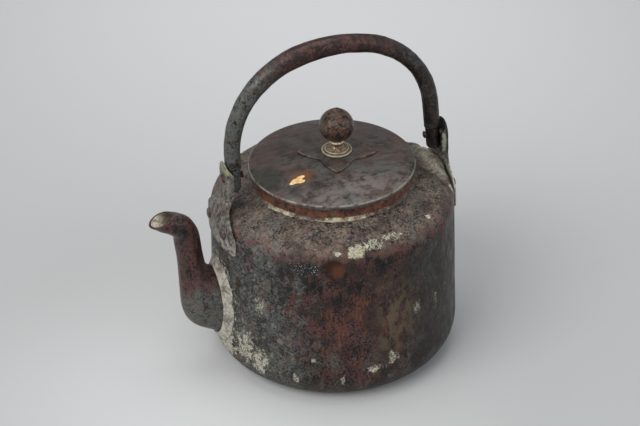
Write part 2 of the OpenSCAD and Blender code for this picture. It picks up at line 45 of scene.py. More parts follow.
# ---- Sizes of the kettle, nearly all of them those of the CAD part ----
WALL_LOW_R, WALL_TOP_R = 88.0, 85.0
BOTTOM_EDGE_R = 22.0
SHOULDER_Z, SHOULDER_SLOPE, SHOULDER_EDGE_R = 123.0, 19.7, 13.0
SHEET = 1.5
COLLAR_R, COLLAR_H, COLLAR_SHEET = 56.4, 10.8, 1.4
LID_RISE, LID_SKIRT, LID_SHEET = 7.2, 3.2, 1.3
LID_R = COLLAR_R + 0.4 + LID_SHEET
KNOB_X = 3.8
KNOB_AXIS = (KNOB_X, 0)
BALL_R, BALL_RISE = 12.1, 20.5
FOOT_R, WAIST_R = 10.8, 3.7
LEAF_R, LEAF_NOTCH_R, LEAF_TURN = 27.5, 16.5, -21.0
PIVOT_Z = 150.0
EAR_SHEET, WING_HALF_W, EAR_BASE_Z, WING_TOP_Z, EAR_NECK_Z = 1.5, 28.5, 103.0, 113.0, 139.0
RIVET_Z, RIVET_OUT = 115.0, 14.0
EAR_CORNER_R, EDGE_TURN = 4.0, 0.4
PIN_R, BORE_R = 2.0, 2.12
SPOUT_SHEET = 1.7
# Play left between a sheet and the wall it lies on
WALL_GAP = 0.05


# ---------------------------------------------------------------- small maths

def arc_points(cx, cz, r, start, end, steps):
    """Points [x, z] along an arc, from one angle to another in degrees."""
    angles = np.radians(np.linspace(start, end, steps + 1))
    return [[cx + r * math.cos(a), cz + r * math.sin(a)] for a in angles]


def refine(line, step):
    """The same polyline with extra points, so that no stretch is longer than step."""
    out = [list(line[0])]
    for a, b in zip(line, line[1:]):
        n = max(1, math.ceil(math.dist(a, b) / step))
        out += [[a[k] + (b[k] - a[k]) * i / n for k in range(2)] for i in range(1, n + 1)]
    return out


def smoothstep(low, high, x):
    """0 at low, 1 at high, smooth between and flat outside; low may be above high."""
    t = min(1.0, max(0.0, (x - low) / (high - low)))
    return t * t * (3 - 2 * t)


def rough(p, size, seed):
    """Smooth noise from -1 to 1 at a point; its features are about size millimetres across."""
    return noise.noise(Vector((p[0] / size + seed * 7.3, p[1] / size - seed * 3.1, p[2] / size + seed)))


def polar(azimuth, r, z):
    """A point from its direction in degrees, its distance from the axis and its height."""
    a = math.radians(azimuth)
    return Vector((r * math.cos(a), r * math.sin(a), z))


WALL_LEAN = math.degrees(math.atan((WALL_LOW_R - WALL_TOP_R) / (SHOULDER_Z - BOTTOM_EDGE_R)))


def wall_r(z):
    """Radius of the wall's outer face at a height."""
    return WALL_LOW_R - (z - BOTTOM_EDGE_R) * math.tan(math.radians(WALL_LEAN))


CORNER_R = wall_r(SHOULDER_Z)


def shoulder_z(r):
    """Height of the shoulder's outer face at a radius."""
    return SHOULDER_Z + (CORNER_R - r) * math.tan(math.radians(SHOULDER_SLOPE))


COLLAR_ROOT_Z = shoulder_z(COLLAR_R)
COLLAR_TOP_Z = COLLAR_ROOT_Z + COLLAR_H
DOME_R = (LID_R ** 2 + LID_RISE ** 2) / (2 * LID_RISE)


def dome_drop(r):
    """How far the lid's dome has dropped at a radius."""
    return DOME_R - math.sqrt(DOME_R ** 2 - r ** 2)


LID_TOP_Z = COLLAR_TOP_Z + 0.05 + LID_SHEET + dome_drop(COLLAR_R)


def dome_z(r):
    """Height of the lid's upper face at a radius."""
    return LID_TOP_Z - dome_drop(r)


# ---------------------------------------------------------------- mesh building

def new_mesh(name, points, faces):
    mesh = bpy.data.meshes.new(name)
    mesh.from_pydata([Vector(p) * MM for p in points], [], faces)
    return mesh


def worn_in(depth, size, seed):
    """A change for revolved() that wears a surface in towards the axis, by up to twice the depth."""
    def change(p, a):
        return p - Vector((math.cos(a), math.sin(a), 0)) * depth * (1 + rough(p, size, seed))
    return change


def turn_faces_out(mesh):
    """Turns all faces of a closed mesh outward."""
    b = bmesh.new()
    b.from_mesh(mesh)
    bmesh.ops.recalc_face_normals(b, faces=b.faces)
    b.to_mesh(mesh)
    b.free()


def new_piece(name, shape, body, node, material, closed=True):
    """A smooth-shaded piece from points in millimetres and faces, which rides on a body.

    It takes over the look of a CAD node. A closed one gets all its faces turned outward.
    """
    mesh = new_mesh(name, *shape)
    mesh.validate()
    mesh.shade_smooth()
    piece = bpy.data.objects.new(name, mesh)
    bpy.context.scene.collection.objects.link(piece)
    mesh.materials.append(material)
    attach(piece, body)
    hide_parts(node)
    if closed:
        turn_faces_out(mesh)
    return piece


def ring_faces(rings, sides, wrap_rings=False, wrap_sides=True):
    """Quads between neighbouring rings of points."""
    faces = []
    for i in range(rings if wrap_rings else rings - 1):
        j = (i + 1) % rings
        for k in range(sides if wrap_sides else sides - 1):
            m = (k + 1) % sides
            faces.append((i * sides + k, i * sides + m, j * sides + m, j * sides + k))
    return faces


def revolved(line, sides, change=None, centre=(0, 0)):
    """Points and faces of a closed outline [r, z] turned about the vertical; a zero radius makes a pole."""
    points, faces, rows = [], [], []
    for r, z in line:
        if r < 1e-6:
            rows.append([len(points)])
            points.append(Vector((centre[0], centre[1], z)))
            continue
        rows.append(list(range(len(points), len(points) + sides)))
        for k in range(sides):
            a = 2 * math.pi * k / sides
            p = Vector((r * math.cos(a), r * math.sin(a), z))
            if change:
                p = change(p, a)
            points.append(p + Vector((centre[0], centre[1], 0)))
    closed = line[0][0] > 1e-6 and line[-1][0] > 1e-6
    pairs = list(zip(rows, rows[1:])) + ([(rows[-1], rows[0])] if closed else [])
    for a, b in pairs:
        for k in range(sides):
            m = (k + 1) % sides
            if len(a) == 1 and len(b) == 1:
                break
            if len(a) == 1:
                faces.append((a[0], b[m], b[k]))
            elif len(b) == 1:
                faces.append((a[k], a[m], b[0]))
            else:
                faces.append((a[k], a[m], b[m], b[k]))
    return points, faces


# ---------------------------------------------------------------- materials

class Value:
    """A number, colour or place that varies over a surface: a socket among a material's nodes."""

    def __init__(self, shade, socket):
        self.shade, self.socket = shade, socket

    def __add__(self, other):
        return self.shade.math("ADD", self, other)

    def __sub__(self, other):
        return self.shade.math("SUBTRACT", self, other)

    def __rsub__(self, other):
        return self.shade.math("SUBTRACT", other, self)

    def __mul__(self, other):
        return self.shade.math("MULTIPLY", self, other)

    def band(self, low, high):
        """0 below low, 1 above high, smooth between; low may be above high."""
        start, end = (0, 1) if low < high else (1, 0)
        sockets = {"Value": self, "From Min": min(low, high), "From Max": max(low, high),
                   "To Min": start, "To Max": end}
        return self.shade.node("ShaderNodeMapRange", sockets, interpolation_type="SMOOTHSTEP", clamp=True)


class Shade:
    """Builds one procedural material. Positions in it are in millimetres in the part's frame."""

    def __init__(self, name):
        self.mat = bpy.data.materials.new(name)
        self.mat.use_nodes = True
        self.tree = self.mat.node_tree
        self.tree.nodes.clear()
        out = self.tree.nodes.new("ShaderNodeOutputMaterial")
        self.surface = self.tree.nodes.new("ShaderNodeBsdfPrincipled")
        self.tree.links.new(self.surface.outputs[0], out.inputs[0])
        self.p = self.vector("SCALE", self.node("ShaderNodeTexCoord", out="Object"), scale=1 / MM)
        self.colour = None

    def put(self, socket, value):
        """Links a value to a socket, or sets a number or colour on it."""
        if isinstance(value, Value):
            self.tree.links.new(value.socket, socket)
        else:
            socket.default_value = (*value, 1) if socket.type == "RGBA" else value

    def node(self, kind, sockets=(), out=0, **settings):
        """Adds a node and returns one of its outputs."""
        made = self.tree.nodes.new(kind)
        for key, value in settings.items():
            setattr(made, key, value)
        for key, value in dict(sockets).items():
            self.put(made.inputs[key], value)
        return Value(self, made.outputs[out])

    def vector(self, how, a, b=(0, 0, 0), scale=1):
        out = "Value" if how == "LENGTH" else "Vector"
        return self.node("ShaderNodeVectorMath", {0: a, 1: b, 3: scale}, out, operation=how)

    def math(self, how, a, b):
        return self.node("ShaderNodeMath", {0: a, 1: b}, operation=how)

    def most(self, *values):
        top = values[0]
        for value in values[1:]:
            top = self.math("MAXIMUM", top, value)
        return top

    def noise(self, size, detail, sharp, seed, stretch=(1, 1, 1)):
        """Noise near 0.5 with features of about size millimetres, made longer by stretch on each axis."""
        at = self.vector("MULTIPLY", self.p, tuple(1 / (size * s) for s in stretch))
        at = self.vector("ADD", at, (seed * 3.7, seed * 1.9, seed * 5.3))
        sockets = {"Vector": at, "Scale": 1, "Detail": detail, "Roughness": sharp}
        return self.node("ShaderNodeTexNoise", sockets)

    def patch(self, centre, size, ragged, edge, seed, grain):
        """1 inside an ellipsoid round a point, with a torn edge; grain is the size of the tears."""
        off = self.vector("SUBTRACT", self.p, tuple(centre))
        away = self.vector("LENGTH", self.vector("MULTIPLY", off, tuple(1 / s for s in size)))
        torn = (self.noise(grain, 5, 0.7, seed) - 0.5) * (ragged * 4)
        return (away + torn).band(1 + edge, 1 - edge)

    def mix(self, amount, a, b):
        sockets = {0: amount, 6: a, 7: b}
        return self.node("ShaderNodeMix", sockets, 2, data_type="RGBA", blend_type="MIX")

    def coat(self, amount, colour):
        """Lays a colour over what is there so far."""
        self.colour = self.mix(amount, self.colour, colour)

    def blend(self, amount, a, b):
        """A number that goes from a to b."""
        return self.node("ShaderNodeMix", {0: amount, 2: a, 3: b}, data_type="FLOAT")

    def axis(self, name):
        return self.node("ShaderNodeSeparateXYZ", {0: self.p}, name)

    def edges(self):
        """Near 0.5 on flat faces, more on sharp edges."""
        return self.node("ShaderNodeNewGeometry", out="Pointiness")

    def hollows(self):
        """Near 1 in hollows and joints, near 0 on open surfaces; a mask for painting shade."""
        sockets = {"Distance": 6 * MM}
        return 1 - self.node("ShaderNodeAmbientOcclusion", sockets, "AO", samples=8, only_local=False)

    def bumps(self, *layers):
        """Stacked bump maps, each (height, strength, depth in millimetres)."""
        below = {}
        for height, strength, depth in layers:
            sockets = {"Height": height, "Strength": strength, "Distance": depth * MM}
            normal = self.node("ShaderNodeBump", {**sockets, **below})
            below = {"Normal": normal}
        self.put(self.surface.inputs["Normal"], normal)

    def finish(self, roughness, metallic=0.0, specular=0.5):
        looks = {"Base Color": self.colour, "Roughness": roughness, "Metallic": metallic}
        for key, value in looks.items():
            self.put(self.surface.inputs[key], value)
        self.surface.inputs["Specular IOR Level"].default_value = specular
        return self.mat


# Oxide and deposit colours
SOOT = (0.006, 0.005, 0.006)
SLATE = (0.094, 0.1, 0.101)
MOSS = (0.098, 0.103, 0.082)
UMBER = (0.056, 0.033, 0.024)
MAROON = (0.098, 0.038, 0.035)
RUST = (0.155, 0.056, 0.028)
EMBER = (0.26, 0.12, 0.05)
TAN = (0.196, 0.156, 0.122)
OLIVE = (0.098, 0.104, 0.086)
LIME = (0.5, 0.48, 0.38)
CREAM = (0.52, 0.51, 0.39)
ASH = (0.27, 0.26, 0.23)


def oxide(s, seed, cool=0.5, red=0.5, streak=(1, 1, 1)):
    """Shared ground of old copper: soot and umber, with ragged cool grey and maroon patches over it.

    cool and red say how much of each there is, as numbers or as values.
    """
    mottle = s.noise(7, 9, 0.68, seed=seed, stretch=streak)
    fine = s.noise(1.5, 6, 0.7, seed=seed + 1)
    s.colour = s.mix((mottle * 0.5 + fine * 0.5).band(0.46, 0.54), SOOT, UMBER)
    greys = s.noise(12, 10, 0.72, seed=seed + 2, stretch=streak)
    greys = (greys + cool * 0.2).band(0.58, 0.66)
    s.coat(greys * fine.band(0.44, 0.54), SLATE)
    green = s.noise(9, 8, 0.7, seed=seed + 4).band(0.5, 0.62)
    s.coat(greys * green * 0.8, MOSS)
    reds = s.noise(10, 9, 0.7, seed=seed + 3, stretch=streak)
    reds = (reds + red * 0.2).band(0.58, 0.67)
    s.coat(reds * fine.band(0.43, 0.55), MAROON)
    return mottle, fine


# Lime and crust on the pot: (centre, half sizes, raggedness, cover, seed)
LIME_PATCHES = [
    (polar(-100, 80, 122.6), (8, 6, 5), 0.4, 1.02, 1),
    (polar(-91, 78.2, 124), (9, 4.6, 4), 0.5, 0.84, 2),
    (polar(-80, 76.4, 125.2), (11, 4.4, 4), 0.55, 0.74, 2.5),
    (polar(-109, 81.2, 122.4), (5.5, 3, 1.7), 0.6, 0.9, 3),
    (polar(-54, 77.6, 125.7), (2.6, 2.4, 2), 0.5, 0.9, 4),
    (polar(-147, 86.4, 71), (8.5, 6, 9.5), 0.62, 0.7, 5),
    (polar(-172, 88, 24), (10, 13, 13), 0.7, 1, 6),
    (polar(-156, 87.8, 34), (10, 12, 15), 0.75, 0.78, 7),
    (polar(-147, 87.8, 25), (7.5, 8.5, 12), 0.7, 0.86, 8),
    (polar(-129, 87.6, 20.5), (2.4, 3.6, 4.6), 0.6, 0.9, 9),
    (polar(-120.5, 87.4, 37.6), (2.4, 2.4, 2.4), 0.5, 0.8, 10),
    (polar(-92, 87.7, 27.5), (6, 4, 3.2), 0.7, 0.85, 11),
    (polar(-84, 87.6, 32.5), (5, 4.4, 6), 0.75, 0.8, 12),
    (polar(-107.4, 87.6, 21), (2.4, 3, 5), 0.7, 0.8, 13),
    (polar(-70, 86.7, 66), (4, 3.8, 6.5), 0.65, 0.74, 14),
    (polar(-57, 86.7, 63), (3, 3, 8), 0.7, 0.68, 14.5),
    (polar(-47, 86.7, 66), (3, 4, 9), 0.7, 0.62, 14.7),
    (polar(-180, 87.6, 54), (12, 28, 40), 0.5, 0.95, 15),
    (polar(-33, 71, 127), (7, 5, 5), 0.6, 0.58, 16),
    (polar(-20, 84, 118), (5, 5, 8), 0.6, 0.9, 16.5),
    (polar(60, 87.6, 30), (5, 7, 6), 0.7, 0.8, 17),
    (polar(150, 86.8, 52), (6, 6, 8), 0.7, 0.8, 18),
    (polar(120, 80.5, 123.5), (9, 6, 2.6), 0.6, 0.9, 19),
]


def pot_material():
    """The pot's oxide: red streaked front, grey sides, tan shoulder, and lime, crust and a tarry spot; with
    painted glints, a painted highlight in the dished spot and painted shade low on the right.
    """
    s = Shade("pot_oxide")
    x, z = s.axis("X"), s.axis("Z")
    red_field = s.patch((-14, -88, 60), (38, 46, 40), 0.4, 0.7, 1, 12)
    left = x.band(-34, -66)
    right = x.band(2, 40)
    sides = s.most(left, right * 0.35)
    cool = sides * 0.75 + 0.15
    red = red_field * 0.65 + 0.25
    streak = (1, 1, 1.7)
    mottle, fine = oxide(s, 1, cool, red, streak)
    # rust and fine orange threads that run down the front of the wall
    threads = s.noise(1.2, 6, 0.68, stretch=(1, 1, 8), seed=7)
    rusty = s.noise(9, 8, 0.7, stretch=(1, 1, 2.4), seed=8).band(0.47, 0.6)
    rusty *= z.band(100, 84)
    rust = red_field * rusty * threads.band(0.4, 0.6)
    s.coat(rust * 0.85, RUST)
    glow = rust * s.noise(5, 7, 0.7, stretch=(1, 1, 2), seed=9).band(0.52, 0.64)
    s.coat(glow * 0.7, EMBER)
    dark_threads = threads.band(0.44, 0.36) * z.band(105, 90)
    s.coat(dark_threads * 0.6, SOOT)
    # broad dark clouds, and olive-brown ones low on the right
    clouds = s.noise(19, 9, 0.66, seed=2, stretch=(1, 1, 1.3)).band(0.54, 0.42)
    s.coat(clouds * 0.6, (0.014, 0.012, 0.012))
    olive = s.patch((16, -84, 66), (17, 24, 26), 0.5, 0.7, 2, 9)
    olive *= s.noise(6, 8, 0.72, stretch=(1, 1, 2), seed=3).band(0.44, 0.56)
    s.coat(olive * 0.8, (0.135, 0.098, 0.058))
    # the shoulder is rubbed to a tan brown, broken by dark spots, reddest along its edge
    rub = s.noise(13, 9, 0.72, seed=5).band(0.4, 0.56)
    shoulder = z.band(116, 125) * s.blend(rub, 0.25, 1)
    shoulder *= (fine * 0.6 + mottle * 0.4).band(0.42, 0.52)
    tan = s.mix(s.noise(2.6, 8, 0.76, seed=15).band(0.42, 0.58), (0.105, 0.074, 0.058), TAN)
    s.coat(shoulder * 0.9, tan)
    edge = z.band(112, 118) * z.band(127, 121)
    edge *= s.noise(8, 8, 0.7, seed=6).band(0.44, 0.6)
    s.coat(edge * 0.6, (0.13, 0.06, 0.05))
    # grey-green haze on the lower wall, mostly on its far left and right
    haze = (s.noise(13, 9, 0.74, seed=4) + sides * 0.1).band(0.5, 0.62)
    haze = haze * s.most(z.band(78, 30), right * 0.6)
    s.coat(haze * fine.band(0.4, 0.58) * 0.8, OLIVE)
    # thin chalky bloom and fine pale grains
    chalk = s.noise(4.5, 9, 0.78, seed=9)
    dusty = s.patch((-76, -40, 60), (32, 44, 66), 0.5, 0.6, 3, 14)
    s.coat(dusty * chalk.band(0.5, 0.64) * 0.6, ASH)
    grains = s.noise(0.9, 3, 0.6, seed=10).band(0.66, 0.72) * chalk.band(0.5, 0.62)
    s.coat(grains * 0.55, ASH)
    # lime and crust where it shows on the real pot
    crumbs = s.noise(1.1, 7, 0.78, seed=11)
    swirl = s.noise(3.2, 7, 0.72, seed=12)
    crust = s.most(*(s.patch(centre, size, ragged, 0.55, seed, 4.5) * cover
                     for centre, size, ragged, cover, seed in LIME_PATCHES))
    broken = (crust + crumbs * 1.3 + swirl * 1.1).band(1.72, 2.02)
    broken *= crust.band(0.02, 0.25)
    tint = s.mix(swirl.band(0.4, 0.6), LIME, CREAM)
    warm = s.patch(polar(-102, 80, 122), (9, 9, 9), 0.3, 0.5, 19, 6)
    tint = s.mix(warm * 0.7, tint, (0.56, 0.5, 0.28))
    tint = s.mix(crumbs.band(0.56, 0.44), tint, ASH)
    tint = s.mix(swirl.band(0.46, 0.36), tint, (0.135, 0.125, 0.1))
    s.coat(broken * 0.9, tint)
    # grey-tan crust at the rear ear's foot
    foot = s.patch(polar(1, 78, 126), (11.5, 23, 9), 0.35, 0.4, 18, 5)
    crust_tan = s.mix(swirl.band(0.4, 0.54), (0.14, 0.118, 0.092), (0.34, 0.31, 0.25))
    crust_tan = s.mix(crumbs.band(0.56, 0.66), crust_tan, (0.52, 0.5, 0.41))
    s.coat(foot * 0.92, crust_tan)
    broken = s.most(broken, foot)
    # the dished spot on the upper wall, dark and glossy, with a painted highlight for its lit orange side
    dish = s.patch(polar(-111, 85, 112), (8, 8, 7.4), 0.14, 0.18, 5, 4)
    lit_side_highlight = s.patch(polar(-108, 85, 110.5), (5.2, 5.2, 5.2), 0.4, 0.7, 6, 3)
    s.coat(dish * 0.9, s.mix(lit_side_highlight, (0.026, 0.009, 0.005), (0.105, 0.036, 0.013)))
    tarry = s.patch(polar(-124, 85, 111.5), (12, 9, 4.6), 0.4, 0.5, 7, 3)
    s.coat(tarry * 0.8, (0.012, 0.011, 0.012))
    # painted glints: bright specks that stand in for sparkles of light on the tarry patch
    painted_glints = tarry * s.noise(1, 4, 0.65, seed=14).band(0.57, 0.63)
    s.coat(painted_glints * 0.9, (0.42, 0.44, 0.44))
    # painted shade: the lower right side, away from the key light, darkened towards black
    s.coat(right * z.band(118, 100) * 0.45, (0.012, 0.01, 0.01))
    s.bumps((mottle, 0.6, 1), (fine, 0.6, 0.35), (broken, 0.9, 0.5), (crumbs, 0.45, 0.25))
    shine = s.blend(mottle.band(0.38, 0.62), 0.34, 0.55)
    shine = s.blend(z.band(116, 124) * 0.5, shine, 0.62)
    shine = s.blend(s.most(broken, dusty * 0.4), shine, 0.85)
    shine = s.blend(s.most(dish, tarry), shine, 0.24)
    metal = (1 - broken) * 0.3
    return s.finish(shine, metal, 0.32)


def collar_material():
    """Redder oxide of the collar, and of the ring under the lid."""
    s = Shade("collar_oxide")
    mottle, fine = oxide(s, 21, 0.2, 1, (1, 1, 2))
    warm = s.noise(6, 8, 0.7, seed=22).band(0.42, 0.58)
    s.coat(warm * 0.85, (0.2, 0.074, 0.04))
    pale = s.noise(2, 6, 0.75, seed=23).band(0.56, 0.66) * s.noise(11, 5, 0.6, seed=24).band(0.5, 0.6)
    s.coat(pale * 0.7, ASH)
    s.bumps((mottle, 0.4, 0.5), (fine, 0.3, 0.2))
    return s.finish(s.blend(mottle, 0.38, 0.62), 0.3)


def solder_material():
    """Cream-grey solder and lime, soiled brown and black in its pits."""
    s = Shade("solder_crust")
    mottle = s.noise(6, 9, 0.72, seed=31)
    pits = s.noise(1.5, 7, 0.76, seed=32)
    s.colour = s.mix(mottle.band(0.38, 0.6), (0.185, 0.168, 0.138), (0.5, 0.47, 0.4))
    s.coat(pits.band(0.56, 0.7), (0.58, 0.55, 0.47))
    s.coat(pits.band(0.45, 0.36) * 0.8, (0.05, 0.042, 0.034))
    green = s.noise(8, 4, 0.6, seed=33).band(0.54, 0.68)
    s.coat(green * 0.45, (0.24, 0.24, 0.15))
    brown = s.noise(9, 7, 0.7, seed=34).band(0.55, 0.64)
    s.coat(brown * 0.7, (0.11, 0.075, 0.055))
    s.bumps((mottle, 0.6, 0.9), (pits, 0.7, 0.45))
    return s.finish(s.blend(mottle, 0.62, 0.9), 0, 0.35)


def collar_bead_material():
    """The collar's solder line: mostly the shoulder's brown, with lime left on the front of it."""
    s = Shade("collar_solder")
    mottle = s.noise(5, 9, 0.72, seed=35)
    pits = s.noise(1.3, 7, 0.76, seed=36)
    s.colour = s.mix(mottle.band(0.4, 0.6), (0.05, 0.034, 0.026), (0.115, 0.085, 0.065))
    front = s.most(s.patch((-48, -30, 130), (14, 24, 12), 0.5, 0.6, 31, 6),
                   s.patch((-20, -56, 130), (30, 12, 12), 0.5, 0.6, 32, 6),
                   s.patch((22, -54, 130), (22, 16, 12), 0.5, 0.6, 33, 6) * 0.6)
    lime = (front * 0.34 + pits * 0.5 + mottle * 0.5).band(0.7, 0.9)
    tint = s.mix(mottle.band(0.44, 0.58), (0.36, 0.29, 0.19), (0.46, 0.45, 0.33))
    s.coat(lime, tint)
    s.bumps((mottle, 0.6, 0.7), (pits, 0.7, 0.4))
    return s.finish(s.blend(lime, 0.55, 0.85), 0, 0.35)


def spout_material():
    """Smooth dark oxide above, dusty grey-green at the spout's root."""
    s = Shade("spout_oxide")
    z = s.axis("Z")
    low = z.band(84, 52)
    red = z.band(60, 84) * 0.5 + 0.2
    mottle, _ = oxide(s, 41, low, red, (1, 1, 2))
    dusty = low * s.noise(5, 9, 0.75, seed=45).band(0.42, 0.62)
    s.coat(dusty * 0.8, (0.125, 0.122, 0.1))
    grains = s.noise(1, 4, 0.65, seed=47).band(0.6, 0.68) * z.band(96, 50)
    s.coat(grains * 0.6, ASH)
    s.bumps((mottle, 0.35, 0.5), (s.noise(1.1, 4, 0.7, seed=46), 0.3, 0.15))
    smooth_part = s.blend(mottle, 0.28, 0.44)
    return s.finish(s.blend(dusty, smooth_part, 0.75), 0.25, 0.4)


def spout_inside_material():
    """Cream lime just inside the mouth, brown deeper in."""
    s = Shade("spout_lime")
    mottle = s.noise(4, 7, 0.72, seed=51)
    s.colour = s.mix(mottle.band(0.38, 0.58), (0.25, 0.21, 0.13), (0.66, 0.62, 0.51))
    deep = s.axis("X").band(-127, -117)
    s.coat(deep * 0.75, (0.08, 0.068, 0.036))
    s.bumps((mottle, 0.7, 0.8))
    return s.finish(0.85, 0, 0.3)


def handle_material():
    """Grey-green bloom on the front arm, red-brown over the crown, darker down the rear arm."""
    s = Shade("handle_oxide")
    x, z = s.axis("X"), s.axis("Z")
    front = x.band(-22, -62)
    rear = x.band(34, 58)
    top = 1 - s.most(front, rear)
    cool = front * 0.75 + rear * 0.25 + 0.1
    mottle, _ = oxide(s, 61, cool, top * 0.75 + 0.1)
    brown = top * s.noise(6, 8, 0.7, seed=64).band(0.42, 0.58)
    s.coat(brown * 0.7, (0.066, 0.03, 0.02))
    shade = top * s.noise(9, 9, 0.72, seed=68).band(0.56, 0.44)
    s.coat(shade * 0.85, (0.012, 0.008, 0.007))
    bloom = front * s.noise(5, 9, 0.74, seed=65).band(0.44, 0.6)
    s.coat(bloom * 0.75, (0.1, 0.104, 0.088))
    chalk = s.noise(2.2, 7, 0.76, seed=66).band(0.56, 0.68) * z.band(200, 165)
    s.coat(chalk * front * 0.5, ASH)
    dark = 1 - rear * 0.45
    s.colour = s.mix(dark, (0.01, 0.01, 0.01), s.colour)
    s.bumps((mottle, 0.5, 0.7), (s.noise(1.6, 5, 0.7, seed=67), 0.4, 0.2))
    shine = s.blend(bloom, s.blend(mottle, 0.3, 0.46), 0.62)
    return s.finish(shine, 0.3, 0.4)


def ear_material():
    """Brown-grey worn sheet; verdigris on the front ear's tip, painted shade and crust on the rear one."""
    s = Shade("ear_oxide")
    x, z = s.axis("X"), s.axis("Z")
    front = x.band(0, -20)
    mottle, fine = oxide(s, 71, 0.5, 0.45)
    worn = s.noise(5, 9, 0.76, seed=73).band(0.45, 0.54)
    s.coat(worn * 0.85, (0.215, 0.196, 0.165))
    umber = s.noise(4, 8, 0.74, seed=72).band(0.5, 0.58)
    s.coat(umber * 0.85, (0.052, 0.033, 0.025))
    pits = s.noise(1.6, 7, 0.76, seed=77).band(0.46, 0.4)
    s.coat(pits * 0.8, (0.018, 0.015, 0.013))
    chalk = s.noise(1.8, 7, 0.76, seed=75).band(0.53, 0.61)
    low = z.band(122, 108) * s.noise(4, 8, 0.74, seed=76).band(0.46, 0.56)
    s.coat(s.most(chalk * 0.6, low) * 0.75, (0.42, 0.4, 0.35))
    ragged = s.noise(2.6, 6, 0.72, seed=74).band(0.42, 0.54)
    tip = z.band(152, 159) * (front * ragged)
    s.coat(tip * 0.85, (0.3, 0.31, 0.17))
    rim = s.edges().band(0.52, 0.58) * (front * z.band(125, 145))
    s.coat(rim * ragged * 0.35, (0.26, 0.26, 0.18))
    # the rear ear: painted shade, near black, over its upper part, with a pale strip down its inner side,
    # and crust below
    rear = 1 - front
    ragged_z = z + s.noise(7, 8, 0.74, seed=69) * 22
    rear_painted_shade = rear * ragged_z.band(136, 152)
    rear_painted_shade *= s.blend(z.band(134, 142), 0.7, 1)
    s.coat(rear_painted_shade * 0.93, (0.01, 0.009, 0.009))
    strip = s.patch((80.4, -10, 147), (1.5, 3, 7.5), 0.6, 0.45, 78, 2.5)
    s.coat(strip * 0.85, (0.3, 0.31, 0.24))
    inner_side = s.axis("Y").band(0, -12)
    crust = rear * ragged_z.band(146, 138) * z.band(102, 116)
    torn = (s.noise(4, 7, 0.74, seed=79) + inner_side * 0.12).band(0.48, 0.6)
    crust *= torn
    pale = s.mix(s.noise(2.2, 7, 0.74, seed=80).band(0.42, 0.58), (0.24, 0.21, 0.165), (0.54, 0.53, 0.44))
    s.coat(crust * 0.9, pale)
    s.bumps((mottle, 0.7, 1.1), (chalk, 0.5, 0.3), (umber, 0.4, 0.3), (fine, 0.6, 0.35))
    rough_part = s.most(worn, crust)
    return s.finish(s.blend(rough_part, 0.42, 0.75), 0.2)


def rivet_material():
    """Dark oxide of rivets and pins, dustier low down."""
    s = Shade("rivet_oxide")
    mottle, fine = oxide(s, 81, 0.5, 0.7)
    s.coat(mottle.band(0.5, 0.62) * 0.3, ASH)
    low = s.axis("Z").band(126, 120) * fine.band(0.36, 0.52)
    s.coat(low * 0.7, (0.115, 0.095, 0.075))
    s.bumps((mottle, 0.5, 0.5))
    return s.finish(0.5, 0.3)


# Parts of the bright chip on the lid: (middle, half sizes)
CHIP_PARTS = [
    ((-33.5, -20.8), (4, 2.6)), ((-37, -21.8), (2.2, 1.3)),
    ((-30, -18.6), (3, 1.6)), ((-31, -23), (2.6, 1.5)),
]


